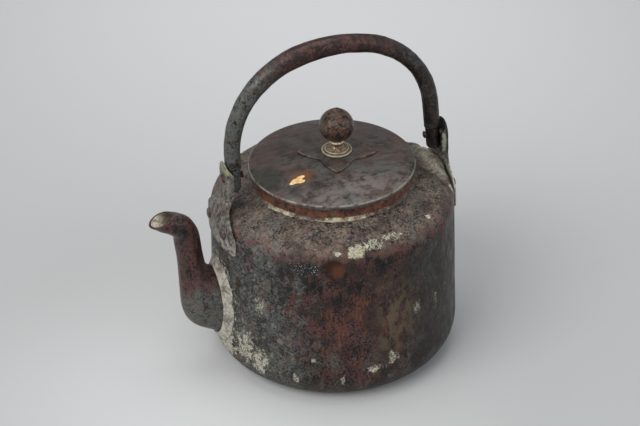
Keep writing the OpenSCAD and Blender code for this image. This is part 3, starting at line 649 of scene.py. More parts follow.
def lid_material(name, rim_wear_and_highlight):
    """Oxide of the lid and its leaf plate, with painted sheen at the front, painted shade at the back and
    in hollows; rim_wear_and_highlight says how bright the sharp edges are made, as rubbed wear and a
    painted highlight.
    """
    s = Shade(name)
    clouds = s.noise(30, 6, 0.6, seed=91)
    mottle = s.noise(8, 8, 0.68, seed=92)
    scratch = s.noise(2, 6, 0.7, stretch=(7, 1, 7), seed=93)
    fine = s.noise(1.4, 6, 0.72, seed=89)
    s.colour = s.mix(mottle.band(0.42, 0.58), (0.028, 0.022, 0.02), (0.088, 0.066, 0.056))
    s.coat(clouds.band(0.46, 0.58) * 0.7, (0.1, 0.06, 0.048))
    slate = s.noise(12, 10, 0.72, seed=94).band(0.48, 0.58)
    s.coat(slate * 0.85, (0.09, 0.093, 0.083))
    s.coat(fine.band(0.46, 0.36) * 0.6, (0.022, 0.018, 0.016))
    # painted sheen: a lighter mottled patch over the near front of the lid
    front = s.patch((6, -42, 145), (34, 12, 8), 0.4, 0.8, 98, 10)
    s.coat(front * mottle.band(0.4, 0.56), (0.16, 0.136, 0.128))
    s.coat(scratch.band(0.53, 0.64) * 0.5, (0.155, 0.135, 0.118))
    s.coat(scratch.band(0.46, 0.38) * 0.6, (0.024, 0.02, 0.019))
    # painted shade: the far back of the lid darkened
    painted_back_shade = s.patch((0, 30, 148), (60, 30, 12), 0.3, 0.8, 99, 14)
    s.coat(painted_back_shade * 0.55, (0.04, 0.024, 0.021))
    green = s.patch(polar(-169, 50, dome_z(50)), (9, 12, 6), 0.5, 0.5, 96, 6)
    s.coat(green * 0.7, (0.024, 0.027, 0.022))
    # bright worn line round the edge, dark below it
    away = s.vector("LENGTH", s.vector("MULTIPLY", s.p, (1, 1, 0)))
    wear = away.band(LID_R - 1.1, LID_R - 0.5) * s.noise(9, 7, 0.72, seed=95).band(0.4, 0.56)
    wear *= s.axis("Z").band(dome_z(LID_R) - 1.6, dome_z(LID_R) - 0.9)
    s.coat(wear * 0.75, (0.3, 0.28, 0.22))
    grains = s.noise(1.1, 3, 0.6, seed=96).band(0.66, 0.72) * s.noise(20, 5, 0.6, seed=90).band(0.5, 0.6)
    s.coat(grains * 0.5, ASH)
    # the bright chip near the edge: pointed towards the spout, notched at its other end
    chip = s.most(*(s.patch((*centre, dome_z(math.hypot(*centre))), (*size, 4), 0.1, 0.1, 9, 2)
                    for centre, size in CHIP_PARTS))
    halo = s.patch((-29, -18.5, dome_z(34.4)), (9, 6, 5), 0.3, 0.45, 10, 6)
    s.coat(halo * 0.6, (0.2, 0.07, 0.02))
    gold = s.mix(s.noise(2.6, 6, 0.7, seed=97).band(0.42, 0.6), (0.66, 0.36, 0.12), (0.93, 0.72, 0.42))
    s.coat(chip, gold)
    # painted shade in hollows and where parts meet: the shadow under the leaf plate's raised edges and
    # round the knob's foot
    s.coat(s.hollows() * 0.6, (0.02, 0.017, 0.015))
    # sharp edges lightened: partly rubbed wear, partly a painted highlight along the leaf plate's edges
    rim = s.edges().band(0.51, 0.55)
    rim *= s.noise(5, 7, 0.72, seed=88).band(0.48, 0.58)
    s.coat(rim * rim_wear_and_highlight, (0.24, 0.155, 0.11))
    s.bumps((mottle, 0.45, 0.7), (scratch, 0.3, 0.16), (chip, 0.6, -0.3), (fine, 0.35, 0.18))
    shine = s.blend(clouds.band(0.35, 0.65), 0.34, 0.5)
    return s.finish(s.blend(chip, shine, 0.6), s.blend(chip, 0.28, 0.05), 0.4)


def ball_material():
    """Mottled red-brown and black with fine green-grey grains."""
    s = Shade("ball_oxide")
    mottle = s.noise(3.6, 9, 0.74, seed=101)
    fine = s.noise(1.3, 6, 0.72, seed=102)
    s.colour = s.mix(mottle.band(0.46, 0.54), (0.018, 0.014, 0.013), (0.13, 0.052, 0.034))
    s.coat(fine.band(0.5, 0.58) * 0.75, (0.016, 0.015, 0.014))
    grey = s.noise(5, 8, 0.74, seed=103).band(0.49, 0.57)
    s.coat(grey * 0.7, (0.074, 0.076, 0.06))
    grains = s.noise(0.8, 3, 0.6, seed=104).band(0.62, 0.67)
    s.coat(grains * 0.8, (0.34, 0.36, 0.29))
    s.bumps((mottle, 0.5, 0.6), (fine, 0.5, 0.25))
    return s.finish(s.blend(mottle, 0.24, 0.4), 0.3, 0.3)


def brass_material():
    """Brown old brass whose turned rims carry a pale green-cream deposit, with painted shade in its grooves
    and hollows.
    """
    s = Shade("old_brass")
    mottle = s.noise(2.6, 8, 0.72, seed=111)
    fine = s.noise(0.9, 6, 0.72, seed=112)
    s.colour = s.mix(mottle.band(0.42, 0.58), (0.12, 0.06, 0.036), (0.38, 0.21, 0.12))
    s.coat(fine.band(0.54, 0.62) * 0.6, (0.32, 0.26, 0.17))
    low = s.axis("Z").band(LID_TOP_Z + 3.6, LID_TOP_Z + 2.6)
    deposit = low * mottle.band(0.4, 0.52)
    s.coat(deposit * 0.7, (0.27, 0.255, 0.18))
    rim = s.edges().band(0.51, 0.56)
    s.coat(rim * 0.85, (0.55, 0.54, 0.41))
    # painted shade in the grooves between the rims and in the hollow waist under the pale ring
    s.coat(s.hollows() * 0.9, (0.03, 0.024, 0.018))
    s.bumps((mottle, 0.5, 0.4), (fine, 0.4, 0.15))
    return s.finish(s.blend(mottle, 0.32, 0.6), 0.35)


def pale_ring_material():
    """Pale worn brass."""
    s = Shade("pale_ring")
    mottle = s.noise(2.4, 6, 0.7, seed=121)
    s.colour = s.mix(mottle.band(0.4, 0.56), (0.42, 0.34, 0.2), (0.85, 0.8, 0.62))
    s.bumps((mottle, 0.5, 0.3))
    return s.finish(0.6, 0.15)


POT = pot_material()
COLLAR = collar_material()
SOLDER = solder_material()
COLLAR_SOLDER = collar_bead_material()
SPOUT = spout_material()
SPOUT_INSIDE = spout_inside_material()
HANDLE = handle_material()
EAR = ear_material()
RIVET = rivet_material()
LID = lid_material("lid_oxide", 0.0)
LEAF = lid_material("leaf_oxide", 0.6)
BALL = ball_material()
BRASS = brass_material()
PALE_RING = pale_ring_material()


# ---------------------------------------------------------------- pot

def pot_outline():
    """Outer line of the pot from near the base's middle to the collar, with each point's outward normal."""
    def arc(cx, cz, r, start, end, count):
        angles = np.linspace(start, end, count)
        return [(cx + r * math.cos(a), cz + r * math.sin(a), math.cos(a), math.sin(a)) for a in angles]
    line = [(r, 0, 0, -1) for r in (8, 20, 32, 44, 56)]
    low, high = math.radians(WALL_LEAN), math.radians(90 - SHOULDER_SLOPE)
    line += arc(WALL_LOW_R - BOTTOM_EDGE_R, BOTTOM_EDGE_R, BOTTOM_EDGE_R, -math.pi / 2, low, 15)
    mid, half = (low + high) / 2, (high - low) / 2
    reach = SHOULDER_EDGE_R / math.cos(half)
    cx, cz = CORNER_R - reach * math.cos(mid), SHOULDER_Z - reach * math.sin(mid)
    start_z = line[-1][1]
    end_z = cz + SHOULDER_EDGE_R * math.sin(low)
    for z in np.linspace(start_z, end_z, 40)[1:-1]:
        line.append((wall_r(z), z, math.cos(low), math.sin(low)))
    line += arc(cx, cz, SHOULDER_EDGE_R, low, high, 9)
    for r in np.linspace(line[-1][0], COLLAR_R, 22)[1:]:
        line.append((r, shoulder_z(r), math.cos(high), math.sin(high)))
    return line


# Dents in the wall: (azimuth, height, half width, half height, depth)
DENTS = [
    (-111, 112, 7.5, 7.5, 0.9), (-150, 92, 22, 18, 0.7), (-92, 40, 26, 16, 0.5), (-60, 88, 20, 24, 0.6),
    (-132, 60, 18, 22, 0.5), (-30, 50, 24, 22, 0.6), (40, 85, 26, 18, 0.7), (95, 45, 24, 26, 0.6),
    (140, 90, 20, 22, 0.6), (-75, 104, 15, 7, 0.4), (-128, 108, 12, 6, 0.4),
]


def crust_lump(p, azimuth):
    """How far the crust at the rear ear's foot stands out of the shoulder, in millimetres."""
    r = math.hypot(p[0], p[1])
    across = ((azimuth - 4 + 180) % 360 - 180) / 19
    along = (r - 75.5) / 9.0
    inside = smoothstep(1.25, 0.35, math.hypot(across, along) + 0.35 * rough(p, 7, 3))
    if p[2] < 115 or inside == 0:
        return 0.0
    return inside * (3.6 + 1.1 * rough(p, 4, 14) + 0.5 * rough(p, 1.8, 15))


def worn_pot(p, azimuth):
    """How far the pot's surface is pushed in at a point, in millimetres, apart from its crust."""
    push = 0.28 * (0.5 + 0.5 * rough(p, 23, 1)) + 0.16 * (0.5 + 0.5 * rough(p, 9, 2))
    for az, z, half_w, half_h, depth in DENTS:
        across = (azimuth - az + 180) % 360 - 180
        u = math.radians(across) * 86 / half_w
        v = (p[2] - z) / half_h
        push += depth * smoothstep(1.0, 0.25, math.hypot(u, v)) if math.hypot(u, v) < 1 else 0.0
    # under the spout and the ears the wall stays true, and so does the flat base
    beside = smoothstep(30, 44, abs(math.sin(math.radians(azimuth))) * WALL_LOW_R)
    above = smoothstep(1, 7, p[2])
    return push * (0.15 + 0.85 * beside) * above


def build_pot():
    """Raised sheet-copper shell with a slot through its wall behind the spout."""
    line = pot_outline()
    sides = 216
    slot_half_w, slot_low, slot_high = 11.0, 36.0, 73.0
    points, rows = [], len(line)
    for inset in (0.0, SHEET):
        for r, z, nr, nz in line:
            for k in range(sides):
                az = 360 * k / sides
                p = polar(az, r, z)
                out = polar(az, nr, nz)
                lump = 0.0 if inset else crust_lump(p, az)
                p = p - out * (inset + worn_pot(p, az) - lump)
                points.append(p)
    layer = rows * sides
    in_slot = set()
    for i in range(rows - 1):
        for k in range(sides):
            middle = polar(360 * (k + 0.5) / sides, line[i][0], (line[i][1] + line[i + 1][1]) / 2)
            on_front_wall = middle.x < 0 and line[i][0] > 80
            if on_front_wall and abs(middle.y) < slot_half_w and slot_low < middle.z < slot_high:
                in_slot.add((i, k))
    faces = []
    for i in range(rows - 1):
        for k in range(sides):
            m = (k + 1) % sides
            quad = [i * sides + k, i * sides + m, (i + 1) * sides + m, (i + 1) * sides + k]
            if (i, k) not in in_slot:
                faces.append(quad)
                faces.append([layer + v for v in reversed(quad)])
                continue
            beside = [(i - 1, k), (i, m), (i + 1, k), (i, (k - 1) % sides)]
            for (a, b), other in zip(zip(quad, quad[1:] + quad[:1]), beside):
                if other not in in_slot:
                    faces.append([a, b, layer + b, layer + a])
    # the base's middle, above and below, and the rim at the collar
    for start in (0, layer):
        centre = len(points)
        points.append(Vector((0, 0, line[0][1] + (SHEET if start else 0.0))))
        for k in range(sides):
            faces.append([centre, start + k, start + (k + 1) % sides])
    last = (rows - 1) * sides
    for k in range(sides):
        m = (k + 1) % sides
        faces.append([last + k, last + m, layer + last + m, layer + last + k])
    return new_piece("pot", (points, faces), "kettle", "body_shell", POT)


def build_collar():
    """Upright collar with a rounded rim; its foot goes a little way down inside the pot."""
    low, high, round_r = COLLAR_ROOT_Z - 3.5, COLLAR_TOP_Z, COLLAR_SHEET / 2
    mid = COLLAR_R - round_r
    line = refine([[COLLAR_R, low], [COLLAR_R, high - round_r]], 1.2)
    line += arc_points(mid, high - round_r, round_r, 0, 180, 6)[1:]
    line += refine([[mid - round_r, high - round_r], [mid - round_r, low]], 1.6)[1:]
    shape = revolved(line, 216, worn_in(0.16, 8, 4))
    return new_piece("collar", shape, "kettle", "neck_ring", COLLAR)


def build_collar_bead():
    """Lumpy line of solder and lime in the corner between the collar and the shoulder."""
    steps, sides, points = 7, 432, []
    for t in np.linspace(0, 1, steps):
        for k in range(sides):
            a = 2 * math.pi * k / sides
            spot = Vector((math.cos(a) * 58, math.sin(a) * 58, t * 3))
            size = 1.9 * (1 + 0.35 * rough(spot, 7, 5) + 0.22 * rough(spot, 2.6, 6))
            away = size * (1 - t)
            rise = size * (1 - math.sqrt(1 - t * t)) * 0.9 + 0.32 * math.sin(math.pi * t)
            lump = 0.22 * rough(spot, 1.7, 7) * math.sin(math.pi * t)
            r = COLLAR_R - 0.25 + away
            points.append(Vector((r * math.cos(a), r * math.sin(a), shoulder_z(r) - 0.15 + rise + lump)))
    hidden_r = COLLAR_R - 0.3
    for k in range(sides):
        points.append(polar(360 * k / sides, hidden_r, shoulder_z(hidden_r) - 0.6))
    faces = ring_faces(steps + 1, sides, wrap_rings=True)
    return new_piece("collar_bead", (points, faces), "kettle", "neck_solder", COLLAR_SOLDER)


# ---------------------------------------------------------------- spout

# Sections of the spout from the wall to the lip: outer end (distance, height), inner end, half width
SPOUT_SECTIONS = np.array([
    [wall_r(26), 26, wall_r(80), 80, 17.5],
    [100.0, 32, 91.5, 81, 15.5],
    [109.0, 39.5, 94.5, 84, 14.0],
    [113.5, 50, 96.0, 89, 12.5],
    [114.5, 68, 97.0, 97, 10.4],
    [115.0, 90, 97.5, 103, 9.5],
    [116.4, 105, 98.5, 112, 9.2],
    [117.4, 112.5, 100.6, 118, 9.1],
    [121.6, 116.5, 104.8, 124.8, 9.0],
    [127.0, 119.6, 111.8, 129.3, 8.6],
    [132.9, 124.1, 116.4, 130.6, 8.2],
])


def smooth_row(rows, s):
    """A row between the given rows, on a smooth curve through them."""
    last = len(rows) - 1
    i = min(int(s), last - 1)
    t = s - i
    a, b, c, d = (rows[max(0, min(last, j))] for j in (i - 1, i, i + 1, i + 2))
    return b + t * ((c - a) / 2 + t * ((2 * a - 5 * b + 4 * c - d) / 2 + t * (3 * (b - c) + d - a) / 2))


def spout_point(row, inset, a):
    """A point at an angle round the spout's oval section, made smaller all round by an inset."""
    outer, inner = row[0:2], row[2:4]
    mid, span = (outer + inner) / 2, outer - inner
    half = float(np.hypot(*span)) / 2
    x, z = mid + span / (2 * half) * (half - inset) * math.cos(a)
    return Vector((-x, (row[4] - inset) * math.sin(a), z))


def spout_ring(row, inset, sides):
    return [spout_point(row, inset, 2 * math.pi * k / sides) for k in range(sides)]


def on_wall(ring, gap):
    """The same ring pushed along X onto the front of the wall, a gap away from it."""
    return [Vector((-math.sqrt((wall_r(p.z) + gap) ** 2 - p.y ** 2), p.y, p.z)) for p in ring]


def build_spout():
    """Thin tapered tube from the wall, round the heel and over to a turned lip."""
    sides, fine = 64, 8
    last = (len(SPOUT_SECTIONS) - 1) * fine
    skin = [smooth_row(SPOUT_SECTIONS, i / fine) for i in range(1, last + 1)]
    outer, inner = [
        [on_wall(spout_ring(SPOUT_SECTIONS[0], inset, sides), WALL_GAP)]
        + [spout_ring(row, inset, sides) for row in skin]
        for inset in (0, SPOUT_SHEET)
    ]

    def worn(ring, depth):
        """The ring pushed in towards its middle by up to about the depth."""
        mid = sum(ring, Vector()) / len(ring)
        out = []
        for p in ring:
            push = depth * (0.55 + 0.5 * rough(p, 15, 8) + 0.3 * rough(p, 6, 9))
            out.append(p + (mid - p).normalized() * max(0.0, push))
        return out
    outer = [outer[0]] + [worn(ring, 0.40 if i < last - 3 else 0.08) for i, ring in enumerate(outer[1:])]
    # the lip: a narrow rounded edge between the two skins
    lip_outer, lip_inner = outer[-1], inner[-1]
    ahead = (sum(outer[-1], Vector()) - sum(outer[-2], Vector())).normalized()
    edge = [(a + b) / 2 + ahead * 0.10 for a, b in zip(lip_outer, lip_inner)]
    rings = outer + [edge] + inner[::-1]
    points = [p for ring in rings for p in ring]
    shape = points, ring_faces(len(rings), sides, wrap_rings=True)
    piece = new_piece("spout", shape, "kettle", "spout", SPOUT)
    piece.data.materials.append(SPOUT_INSIDE)
    first_inside = (len(outer) + 1) * sides
    for face in piece.data.polygons:
        if min(face.vertices) >= first_inside:
            face.material_index = 1
    return piece


def build_spout_bead():
    """Thick crusty band of solder and lime on the wall round the spout's root."""
    sides, steps = 288, 12
    row = SPOUT_SECTIONS[0]
    rings = []
    for i in range(steps + 1):
        t = i / steps
        ring = []
        for k in range(sides):
            a = 2 * math.pi * k / sides
            spot = (math.cos(a) * 30, math.sin(a) * 24, 0)
            reach = 6.6 + 1.6 * rough(spot, 11, 10) + 1.1 * rough(spot, 3.5, 11)
            grown = spout_point(row, -(0.2 + reach * (1 - t)), a)
            height = 0.05 + 4.0 * t ** 1.6 + 0.55 * math.sin(math.pi * t)
            lump = 0.45 * rough(grown, 5, 12) + 0.35 * rough(grown, 1.9, 13)
            lump *= math.sin(math.pi * min(1, t + 0.12))
            ring.append(on_wall([grown], max(0.02, height + lump))[0])
        rings.append(ring)
    rings.append(on_wall(spout_ring(row, 0.6, sides), 2.0))
    rings.append(on_wall(spout_ring(row, -0.3, sides), -0.3))
    points = [p for ring in rings for p in ring]
    shape = points, ring_faces(len(rings), sides, wrap_rings=True)
    return new_piece("spout_bead", shape, "kettle", "spout_solder", SOLDER)


# ---------------------------------------------------------------- ears, rivets and pins

FRONT_ARM_X, TUBE_END_R = 71.7, 5.6
FRONT_WEB_R = FRONT_ARM_X + TUBE_END_R + 0.3
REAR_ARM_X, REAR_LEAN, SIDE_ARC_R, SPRING_Z = 74.0, 5.0, 64.0, 169.5
BAR_R, BAR_TIP_Z, TUBE_END_Z = 5.4, 139.0, 156.0
LEAN_TAN = math.tan(math.radians(REAR_LEAN))
REAR_FOOT_Z = SPRING_Z + SIDE_ARC_R * math.sin(math.radians(REAR_LEAN))
ARCH_MID_X, ARCH_HALF = (REAR_ARM_X - FRONT_ARM_X) / 2, (REAR_ARM_X + FRONT_ARM_X) / 2
REAR_FOOT_X = REAR_ARM_X - SIDE_ARC_R * (1 - math.cos(math.radians(REAR_LEAN)))
REAR_BAR_X = REAR_FOOT_X + (REAR_FOOT_Z - PIVOT_Z) * LEAN_TAN
REAR_WEB_R = REAR_BAR_X + (PIVOT_Z - BAR_TIP_Z) * LEAN_TAN + BAR_R + 0.5


def ear_half(z, upright_half, top_z):
    """Half width of an ear at a height: wings on the wall, a waist, an upright part with a round top."""
    below = EAR_BASE_Z + EAR_CORNER_R - z
    if below > 0:
        return WING_HALF_W - EAR_CORNER_R + math.sqrt(EAR_CORNER_R ** 2 - below ** 2)
    if z <= WING_TOP_Z:
        return WING_HALF_W
    if z <= EAR_NECK_Z:
        t = smoothstep(WING_TOP_Z, EAR_NECK_Z, z)
        return WING_HALF_W + (upright_half - WING_HALF_W) * t ** 0.9
    middle = top_z - upright_half
    return math.sqrt(max(0.16, upright_half ** 2 - max(0.0, z - middle) ** 2))


def ear_inner_r(z, web_r, lean_to):
    """Radius of an ear's inner face: on the wall, then leaning over to stand upright at its web."""
    lean_from = SHOULDER_Z - 5.0
    if z <= lean_from:
        return wall_r(z) + WALL_GAP
    start = wall_r(lean_from) + WALL_GAP
    t = min(1.0, (z - lean_from) / (lean_to - lean_from))
    return start + (web_r - start) * (t * 0.75 + 0.25 * t * t * (3 - 2 * t))


def ear_row(half, depth, columns=28):
    """One level of an ear: (sideways, inward) places from one folded edge to the other."""
    flap = [(half, depth * u) for u in (1.0, 0.75, 0.5, 0.25, 0.08)]
    flat = [(half * (1 - 2 * (j + 0.5) / columns), 0.0) for j in range(columns)]
    return flap + flat + [(-y, inward) for y, inward in reversed(flap)]


def build_ear(name, node, facing, web_r, lean_to, upright_half, top_z, fold, seed):
    """Sheet ear with its edges folded inward beside the handle's arm; facing is -1 at the spout."""
    middle = top_z - upright_half
    heights = list(np.linspace(EAR_BASE_Z + 0.02, EAR_BASE_Z + EAR_CORNER_R, 6))
    heights += list(np.linspace(110, EAR_NECK_Z, 22)) + list(np.linspace(EAR_NECK_Z + 1.5, middle, 9))
    heights += list(middle + upright_half * np.sin(np.radians(np.linspace(8, 89, 14))))
    points = []
    for z in heights:
        half = ear_half(z, upright_half, top_z)
        folded = smoothstep(EAR_NECK_Z - 11, EAR_NECK_Z, z) * smoothstep(top_z - 1, middle, z)
        depth = EDGE_TURN + (fold - EDGE_TURN) * folded
        row = ear_row(half, depth)
        for y, inward in row:
            wobble = 0.5 * rough((y, 0, z), 10, seed) + 0.2 * rough((y, 0, z), 3.5, seed + 1)
            wobble *= smoothstep(SHOULDER_Z - 3, SHOULDER_Z + 6, z)
            y = math.copysign(min(abs(y), max(0.1, half - EAR_SHEET / 2)), y)
            r = ear_inner_r(z, web_r, lean_to) + EAR_SHEET / 2 + max(0.0, wobble)
            points.append(Vector((facing * (math.sqrt(r * r - y * y) - inward), y, z)))
    faces = ring_faces(len(heights), len(row), wrap_sides=False)
    piece = new_piece(name, (points, faces), "kettle", node, EAR, closed=False)
    thick = piece.modifiers.new("thickness", "SOLIDIFY")
    thick.thickness = EAR_SHEET * MM
    thick.offset = 0.0
    thick.use_even_offset = False
    rim = piece.modifiers.new("soft edge", "BEVEL")
    rim.width = 0.35 * MM
    rim.segments = 2
    rim.limit_method = "ANGLE"
    rim.angle_limit = math.radians(50)
    return piece


def turned_x(profile, sides, origin, facing, seed, dent):
    """Points and faces of a profile [r, distance] turned about the X direction at an origin."""
    points, faces = revolved(profile, sides)
    out = []
    for p in points:
        shrink = 1 - dent * (0.5 + 0.5 * rough(p, 2.6, seed)) if p.z > 0 else 1.0
        out.append(origin + Vector((facing * p.z, p.x * shrink, p.y * shrink)))
    return out, faces


def rivet_profile(shank_r, shank_from, shank_to, tail_r, tail_h, head_r, head_h):
    """Outline [radius, distance] of a peened tail, a shank and a domed head."""
    line = [[0, shank_from - tail_h], [tail_r * 0.8, shank_from - tail_h]]
    line += [[tail_r, shank_from - tail_h * 0.5], [tail_r * 0.9, shank_from], [shank_r, shank_from]]
    line += [[shank_r, shank_to], [head_r * 0.94, shank_to]]
    for a in np.radians(np.linspace(0, 90, 9)[:-1]):
        line.append([head_r * math.cos(a) ** 0.8, shank_to + head_h * math.sin(a) ** 0.9])
    return line + [[0, shank_to + head_h]]


def build_rivets(name, node, facing, seed):
    """Two hammered rivets that hold an ear to the wall."""
    lean = math.degrees(math.asin(RIVET_OUT / WALL_TOP_R))
    base = wall_r(RIVET_Z)
    profile = rivet_profile(1.8, base - SHEET - 0.65, base + EAR_SHEET + 0.15, 2.4, 1.2, 4.0, 1.9)
    points, faces = [], []
    for i, side in enumerate((-1, 1)):
        one, quads = turned_x(profile, 28, Vector((0, 0, 0)), 1, seed + i, 0.10)
        turn = math.radians(side * lean + (180 if facing < 0 else 0))
        start = len(points)
        for p in one:
            points.append(Vector((p.x * math.cos(turn) - p.y * math.sin(turn),
                                  p.x * math.sin(turn) + p.y * math.cos(turn), p.z + RIVET_Z)))
        faces += [[v + start for v in quad] for quad in quads]
    return new_piece(name, (points, faces), "kettle", node, RIVET)


def build_pin(name, node, facing, web_r, bar_x, seed):
    """Headed pin on which the handle swings, peened on the inside of its end bar."""
    profile = rivet_profile(PIN_R, bar_x - BAR_R - 0.5, web_r + EAR_SHEET + 0.05, 2.8, 0.9, 3.4, 1.3)
    points, faces = turned_x(profile, 32, Vector((0, 0, PIVOT_Z)), facing, seed, 0.08)
    return new_piece(name, (points, faces), "kettle", node, RIVET)


# ---------------------------------------------------------------- handle

CROWN_ARC_R, CROWN_TOP_Z, TUBE_SHEET, SEAM_GAP = 98.0, 239.0, 1.4, 1.6
# The slant of the tube's front end, and the share of its length over which it fades
SLANT, SLANT_SHARE = 1.1, 0.08
CROWN_HALF = math.degrees(math.asin((ARCH_HALF - SIDE_ARC_R) / (CROWN_ARC_R - SIDE_ARC_R)))
CROWN_CZ = SPRING_Z - (CROWN_ARC_R - SIDE_ARC_R) * math.cos(math.radians(CROWN_HALF))
# Radius of the tube at distances along X; it is thickest a little in front of the crown
TUBE_X = (-72.0, -58.0, -45.0, -31.0, -21.0, 0.0, 22.0, 38.0, 52.0, 70.0)
TUBE_R = (5.6, 6.15, 6.55, 6.9, 7.1, 6.75, 6.4, 6.15, 5.85, 5.6)


def arch_path():
    """Stations over the arch: [x, z, outward direction in degrees, fraction of the way over]."""
    path = [[-FRONT_ARM_X, z, 180.0, 0.0] for z in np.linspace(TUBE_END_Z, SPRING_Z, 10)[:-1]]
    side_x = ARCH_HALF - SIDE_ARC_R
    arcs = (
        (ARCH_MID_X - side_x, SPRING_Z, SIDE_ARC_R, np.linspace(180, 90 + CROWN_HALF, 70)),
        (ARCH_MID_X, CROWN_CZ, CROWN_ARC_R, np.linspace(90 + CROWN_HALF, 90 - CROWN_HALF, 40)[1:-1]),
        (ARCH_MID_X + side_x, SPRING_Z, SIDE_ARC_R, np.linspace(90 - CROWN_HALF, REAR_LEAN, 66)),
    )
    for cx, cz, r, angles in arcs:
        for a in angles:
            turn = math.radians(a)
            path.append([cx + r * math.cos(turn), cz + r * math.sin(turn), a, 0.0])
    for z in np.linspace(REAR_FOOT_Z, TUBE_END_Z, 12)[1:]:
        path.append([REAR_FOOT_X + (REAR_FOOT_Z - z) * LEAN_TAN, z, REAR_LEAN, 0.0])
    total = [0.0]
    for a, b in zip(path, path[1:]):
        total.append(total[-1] + math.dist(a[:2], b[:2]))
    for row, run in zip(path, total):
        row[3] = run / total[-1]
    return path


def build_handle():
    """Bail rolled from sheet, with its open seam along the inner side; worn and lumpy."""
    path, sides = arch_path(), 48
    rings = []
    for x, z, angle, s in path:
        a = math.radians(angle)
        out = Vector((math.cos(a), 0, math.sin(a)))
        along = Vector((-math.sin(a), 0, math.cos(a)))
        radius = float(np.interp(x, TUBE_X, TUBE_R))
        wide = SEAM_GAP * (1 + 0.5 * rough((x, 0, z), 16, 21))
        gap = math.asin(wide / (2 * radius))
        ring = []
        for inner in (False, True):
            turns = np.linspace(gap - math.pi, math.pi - gap, sides + 1)
            for t in (turns[::-1] if inner else turns):
                direction = out * math.cos(t) + Vector((0, math.sin(t), 0))
                spot = Vector((x, 0, z)) + direction * radius
                push = 0.30 * rough(spot, 13, 22) + 0.16 * rough(spot, 5, 23)
                # the crown's top stays inside the CAD model's box
                push = max(push, 0.05) if spot.z > CROWN_TOP_Z else push
                depth = TUBE_SHEET if inner else 0.0
                p = Vector((x, 0, z)) + direction * (radius - push - depth)
                # the front end is cut on a slant
                if s < SLANT_SHARE:
                    p += along * SLANT * (1 - s / SLANT_SHARE) * math.sin(t)
                ring.append(p)
        rings.append(ring)
    count = len(rings[0])
    points = [p for ring in rings for p in ring]
    faces = ring_faces(len(rings), count)
    far = (len(rings) - 1) * count
    for k in range(sides):
        faces.append((k, k + 1, count - 2 - k, count - 1 - k))
        faces.append((far + k, far + k + 1, far + count - 2 - k, far + count - 1 - k))
    return new_piece("bail", (points, faces), "handle", "handle_tube", HANDLE)


def cut_by(piece, points, faces):
    """Cuts a closed shape, given in millimetres, out of a piece."""
    mesh = new_mesh("cutter", points, faces)
    turn_faces_out(mesh)
    cutter = bpy.data.objects.new("cutter", mesh)
    bpy.context.scene.collection.objects.link(cutter)
    boolean = piece.modifiers.new("cut", "BOOLEAN")
    boolean.operation = "DIFFERENCE"
    boolean.solver = "EXACT"
    boolean.object = cutter
    bpy.context.view_layer.update()
    result = bpy.data.meshes.new_from_object(piece.evaluated_get(bpy.context.evaluated_depsgraph_get()))
    piece.modifiers.remove(boolean)
    old, piece.data = piece.data, result
    bpy.data.objects.remove(cutter)
    bpy.data.meshes.remove(mesh)
    bpy.data.meshes.remove(old)
    return piece


def build_end_bar(name, node, top, lean, seed):
    """Solid bar under the tube's end, a little squared by hammering, bored for the pivot pin."""
    t = math.tan(math.radians(lean))
    line = [[0, TUBE_END_Z + 10]]
    line += refine([[4.0, TUBE_END_Z + 10], [4.0, TUBE_END_Z + 1.0]], 1.5)
    line += refine([[BAR_R - 0.1, TUBE_END_Z], [BAR_R, BAR_TIP_Z + 2]], 1.0)
    line += [[BAR_R - 0.5, BAR_TIP_Z + 0.8], [BAR_R - 1.5, BAR_TIP_Z], [0, BAR_TIP_Z]]

    def change(p, a):
        square = 0.22 * math.cos(4 * a)
        worn = 0.30 * (0.5 + 0.5 * rough(p, 4, seed))
        r = math.hypot(p.x, p.y)
        scale = (r - worn - 0.22 + square) / r if p.z < TUBE_END_Z + 1 else 1.0
        return Vector((p.x * scale, p.y * scale, p.z))
    points, faces = revolved(line, 48, change)
    points = [Vector((p.x + top[0] + (top[1] - p.z) * t, p.y, p.z)) for p in points]
    piece = new_piece(name, (points, faces), "handle", node, HANDLE)
    bore, bore_faces = revolved([[0, -12], [BORE_R, -12], [BORE_R, 12], [0, 12]], 40)
    x = top[0] + (top[1] - PIVOT_Z) * t
    bore = [Vector((x + p.z, p.x, PIVOT_Z + p.y)) for p in bore]
    return cut_by(piece, bore, bore_faces)


# ---------------------------------------------------------------- lid and knob

def build_lid():
    """Shallow dome with a turned-down edge."""
    line = [[r, dome_z(r)] for r in np.linspace(0, LID_R - 1.6, 22)]
    edge_z = dome_z(LID_R)
    line += arc_points(LID_R - 1.1, edge_z - 1.1, 1.1, 78, 0, 5)
    line += refine([[LID_R, edge_z - 1.4], [LID_R, edge_z - LID_SKIRT + 0.4]], 0.8)
    line += arc_points(LID_R - 0.5, edge_z - LID_SKIRT + 0.4, 0.5, -20, -160, 4)
    inner = LID_R - LID_SHEET
    line += [[inner, edge_z - LID_SKIRT + 0.5], [inner, dome_z(inner) - LID_SHEET - 0.5]]
    line += [[r, dome_z(r) - LID_SHEET] for r in np.linspace(inner - 0.6, 0, 20)]

    def change(p, a):
        r = math.hypot(p.x, p.y)
        calm = smoothstep(20, 34, r)
        sink = (0.22 * rough(p, 19, 31) + 0.10 * rough(p, 8, 32)) * calm * smoothstep(LID_R, LID_R - 9, r)
        rim = 0.22 * (0.5 + 0.5 * rough((p.x, p.y, 0), 10, 33)) * smoothstep(LID_R - 3, LID_R, r)
        scale = (r - rim) / r if r > 1 else 1.0
        return Vector((p.x * scale, p.y * scale, p.z - abs(sink)))
    points, faces = revolved(line, 240, change)
    return new_piece("lid", (points, faces), "lid", "lid_plate", LID)


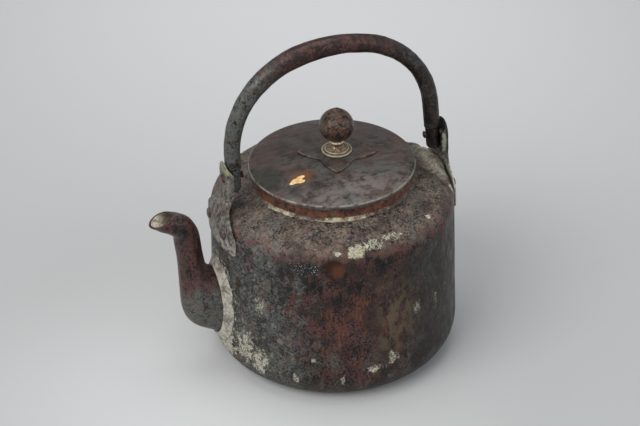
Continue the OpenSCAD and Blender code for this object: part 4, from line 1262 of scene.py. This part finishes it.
def build_flange():
    """Plain ring under the lid that drops inside the collar."""
    outer = COLLAR_R - COLLAR_SHEET - 0.5
    inner, low = outer - 1.2, COLLAR_TOP_Z - 11
    line = refine([[outer, dome_z(outer) - LID_SHEET], [outer, low + 0.4]], 1.5)
    line += arc_points(outer - 0.6, low + 0.5, 0.6, -10, -170, 5)
    line += refine([[inner, low + 0.6], [inner, dome_z(inner) - LID_SHEET]], 1.5)
    shape = revolved(line, 180, worn_in(0.12, 9, 34))
    return new_piece("lid_ring", shape, "lid", "lid_flange", COLLAR)


def leaf_edge(a):
    """Radius of the leaf plate's edge at an angle in degrees."""
    a = (a - LEAF_TURN + 45) % 90 - 45
    u = abs(a) / 45
    return LEAF_NOTCH_R + (LEAF_R - LEAF_NOTCH_R) * (1 - u) ** 1.5


def build_leaf():
    """Thin four-lobed plate under the foot; it follows the dome and its tips stand off a little."""
    sides, steps, points = 288, 16, []
    for side in (1, -1):
        for i in range(steps + 1):
            t = 0.12 + 0.88 * i / steps
            for k in range(sides):
                a = 360 * k / sides
                edge = leaf_edge(a) * (1 + 0.012 * rough(polar(a, 9, 0), 3, 35))
                r = (edge - (0.18 if side > 0 and i == steps else 0.0)) * t
                x, y = KNOB_X + r * math.cos(math.radians(a)), r * math.sin(math.radians(a))
                lift = 0.02 + (0.28 + 0.25 * rough((x, y, 0), 8, 36)) * smoothstep(16, 27, r)
                ripple = 0.10 * rough((x, y, 0), 5, 37)
                top = 0.78 + ripple if side > 0 else 0.0
                points.append(Vector((x, y, dome_z(math.hypot(x, y)) + lift + top)))
    half = (steps + 1) * sides
    faces = ring_faces(steps + 1, sides)
    faces += [tuple(half + v for v in face) for face in ring_faces(steps + 1, sides)]
    for k in range(sides):
        m = (k + 1) % sides
        outer = steps * sides
        faces.append((outer + k, outer + m, half + outer + m, half + outer + k))
        faces.append((k, m, half + m, half + k))
    return new_piece("leaf_plate", (points, faces), "lid", "knob_leaf_plate", LEAF)


FOOT_BASE_Z = LID_TOP_Z + 0.6
RING_H = 1.6
BALL_Z = LID_TOP_Z + BALL_RISE
RING_Z = BALL_Z - BALL_R + 0.7 - RING_H
ROVE_TOP_Z = LID_TOP_Z - LID_SHEET - 0.21


def build_foot():
    """Turned foot: a rim with a raised bead, a step, a hollow waist, and a flare under the pale ring."""
    rim = LID_TOP_Z + 1.8
    line = [[0, FOOT_BASE_Z - 0.2], [FOOT_R - 0.4, FOOT_BASE_Z - 0.2]]
    line += arc_points(FOOT_R - 0.8, rim - 0.6, 0.8, -60, 120, 8)
    line += [[FOOT_R - 1.7, rim - 0.25], [FOOT_R - 2.1, rim - 0.15]]
    line += arc_points(FOOT_R - 2.9, rim + 0.35, 0.75, -30, 120, 7)
    line += [[FOOT_R - 3.9, rim + 0.75], [FOOT_R - 4.6, rim + 0.95], [WAIST_R + 1.5, rim + 1.6]]
    line += [[WAIST_R + 0.5, rim + 2.5], [WAIST_R + 0.05, rim + 3.5], [WAIST_R, RING_Z - 1.8]]
    line += [[WAIST_R + 0.25, RING_Z - 1.0], [WAIST_R + 0.9, RING_Z - 0.1], [0, RING_Z - 0.1]]
    line = [line[0]] + refine(line[1:-1], 0.5) + [line[-1]]

    def change(p, a):
        r = math.hypot(p.x, p.y)
        scale = (r - 0.10 * (1 + rough(p, 3, 41))) / r
        return Vector((p.x * scale, p.y * scale, p.z))
    points, faces = revolved(line, 96, change, KNOB_AXIS)
    return new_piece("knob_foot_turned", (points, faces), "lid", "knob_foot", BRASS)


def build_pale_ring():
    """Thin rounded ring between the foot and the ball."""
    line = [[0, RING_Z]] + arc_points(4.5, RING_Z + RING_H / 2, 0.75, -90, 90, 8) + [[0, RING_Z + RING_H]]
    shape = revolved(line, 64, worn_in(0.15, 2.2, 42), KNOB_AXIS)
    return new_piece("knob_ring", shape, "lid", "knob_collar", PALE_RING)


def build_ball():
    """Slightly dented ball, cut flat below on the pale ring and above under the rod's head."""
    low, high = RING_Z + RING_H - BALL_Z, BALL_R - 0.3
    start = math.degrees(math.asin(low / BALL_R))
    line = [[0, BALL_Z + low]] + arc_points(0, BALL_Z, BALL_R, start, 84, 40)
    line += [[0, BALL_Z + high - 0.35]]

    def change(p, a):
        out = (p - Vector((0, 0, BALL_Z))).normalized()
        dent = 0.22 * (0.5 + 0.5 * rough(p, 8, 43)) + 0.10 * (0.5 + 0.5 * rough(p, 3.2, 44))
        flat = smoothstep(low + 0.3, low + 2.0, p.z - BALL_Z)
        return p - out * dent * flat
    points, faces = revolved(line, 96, change, KNOB_AXIS)
    return new_piece("ball", (points, faces), "lid", "knob_ball", BALL)


def build_knob_rod():
    """Rod through the knob: a low head on the ball and a peened tail under the lid."""
    under = ROVE_TOP_Z - 1.2
    head_r, head_from, head_h = 3.2, BALL_Z + BALL_R - 0.8, 1.9
    line = [[0, under - 1.2], [2.3, under - 1.1], [1.7, under], [1.6, under + 0.2]]
    line += [[1.6, head_from - 0.1], [head_r, head_from]]
    for a in np.radians(np.linspace(10, 80, 8)):
        line.append([head_r * math.cos(a) ** 0.6, head_from + head_h * math.sin(a)])
    line += [[0, head_from + head_h]]

    def change(p, a):
        worn = 0.10 * (1 + rough(p, 1.8, 45)) if p.z > BALL_Z else 0.0
        return p - Vector((math.cos(a), math.sin(a), 0.4)) * worn
    points, faces = revolved(line, 40, change, KNOB_AXIS)
    return new_piece("knob_rod", (points, faces), "lid", "knob_rivet", BALL)


def build_rove():
    """Washer under the lid that the rod is peened over."""
    top = ROVE_TOP_Z
    line = [[1.7, top - 1.2], [4.8, top - 1.15], [5.15, top - 0.8], [5.15, top - 0.3]]
    line += [[4.9, top], [1.7, top]]
    points, faces = revolved(refine(line, 0.6), 48, None, KNOB_AXIS)
    return new_piece("rove", (points, faces), "lid", "knob_rove", BRASS)


build_pot()
build_collar()
build_collar_bead()
build_spout()
build_spout_bead()
build_ear("ear_front", "front_lug", -1, FRONT_WEB_R,
          lean_to=140, upright_half=8.6, top_z=161.8, fold=4.1, seed=51)
build_ear("ear_rear", "rear_lug", 1, REAR_WEB_R,
          lean_to=131, upright_half=10.4, top_z=160.0, fold=5.0, seed=52)
build_rivets("rivets_front", "front_lug_rivets", -1, 53)
build_rivets("rivets_rear", "rear_lug_rivets", 1, 55)
build_pin("pin_front", "front_pivot_pin", -1, FRONT_WEB_R, FRONT_ARM_X, 57)
build_pin("pin_rear", "rear_pivot_pin", 1, REAR_WEB_R, REAR_BAR_X, 58)
build_handle()
build_end_bar("end_bar_front", "front_handle_end", (-FRONT_ARM_X, TUBE_END_Z), 0.0, 61)
build_end_bar("end_bar_rear", "rear_handle_end", (REAR_FOOT_X, REAR_FOOT_Z), REAR_LEAN, 62)
build_lid()
build_flange()
build_leaf()
build_foot()
build_pale_ring()
build_ball()
build_knob_rod()
build_rove()


# ---------------------------------------------------------------- room, light and camera

def paper_material():
    """Pale paper with painted light: a painted pool of light behind the kettle that falls off to the sides
    and the front, and a soft painted patch of light at its spout side that lifts the shadow there.
    """
    s = Shade("paper")
    # painted pool of light behind the kettle, falling off to the sides and the front
    away = s.vector("SUBTRACT", s.p, (205, 560, 0))
    away = s.vector("LENGTH", s.vector("MULTIPLY", away, (1 / 320, 1 / 400, 1 / 900)))
    s.colour = s.mix(away.band(0.1, 1.7), (0.59, 0.593, 0.6), (0.43, 0.431, 0.435))
    # painted light: a soft bright patch at the spout side that lightens the kettle's shadow there
    painted_light_patch = s.vector("LENGTH", s.vector("SUBTRACT", s.p, (-95, -50, 0)))
    s.coat(painted_light_patch.band(230, 20), (0.56, 0.563, 0.568))
    return s.finish(0.9, 0, 0.25)


def build_backdrop():
    """Pale paper sweep: a floor that curves up far behind the kettle."""
    line = [[-2.4, 0.0], [-1.2, 0.0], [0.0, 0.0], [1.4, 0.0]]
    line += [[1.4 + 1.0 * math.sin(a), 1.0 - 1.0 * math.cos(a)] for a in np.radians(np.linspace(9, 90, 10))]
    line += [[2.4, 2.6]]
    points = [Vector((x, y, z)) for x in (-3.2, -1.0, 1.0, 3.2) for y, z in line]
    mesh = bpy.data.meshes.new("backdrop")
    mesh.from_pydata(points, [], ring_faces(4, len(line), wrap_sides=False))
    mesh.shade_smooth()
    mesh.materials.append(paper_material())
    sheet = bpy.data.objects.new("backdrop", mesh)
    bpy.context.scene.collection.objects.link(sheet)
    return sheet


def soft_light(name, place, aim, size, power, colour):
    """Large rectangular lamp at a place in metres, turned towards its aim."""
    light = bpy.data.lights.new(name, "AREA")
    light.shape = "RECTANGLE"
    light.size, light.size_y = size
    light.energy = power
    light.color = colour
    lamp = bpy.data.objects.new(name, light)
    lamp.location = place
    lamp.rotation_euler = (Vector(aim) - Vector(place)).to_track_quat("-Z", "Y").to_euler()
    bpy.context.scene.collection.objects.link(lamp)
    return lamp


def build_room():
    """Paper sweep, a cool even surround and three large soft lights."""
    build_backdrop()
    world = bpy.data.worlds.new("room")
    bpy.context.scene.world = world
    world.use_nodes = True
    world.node_tree.nodes["Background"].inputs[0].default_value = (0.97, 0.985, 1.0, 1.0)
    world.node_tree.nodes["Background"].inputs[1].default_value = 0.66
    soft_light("key", (-1.55, -0.75, 1.75), (0, 0, 0.1), (1.7, 1.4), 33, (1.0, 0.99, 0.97))
    soft_light("fill", (1.6, -1.8, 1.3), (0, 0, 0.1), (1.6, 1.2), 7, (0.95, 0.97, 1.0))
    soft_light("top", (0.1, 0.3, 2.3), (0, 0, 0.15), (1.6, 1.0), 13, (1.0, 1.0, 1.0))


def build_camera():
    """Camera above and before the kettle, a little to its spout side, with a slight roll."""
    place = Vector((-0.40044, -1.04318, 0.8340))
    forward = Vector((0.29359, 0.78329, -0.54796)).normalized()
    up = Vector((0.21056, 0.50616, 0.83634))
    right = forward.cross(up).normalized()
    up = right.cross(forward)
    lens = bpy.data.cameras.new("camera")
    lens.sensor_width = 36.0
    lens.lens = 106.875
    camera = bpy.data.objects.new("camera", lens)
    basis = [[right[i], up[i], -forward[i], place[i]] for i in range(3)] + [[0, 0, 0, 1]]
    camera.matrix_world = Matrix(basis)
    bpy.context.scene.collection.objects.link(camera)
    bpy.context.scene.camera = camera
    bpy.context.scene.view_settings.view_transform = "Standard"


build_room()
build_camera()
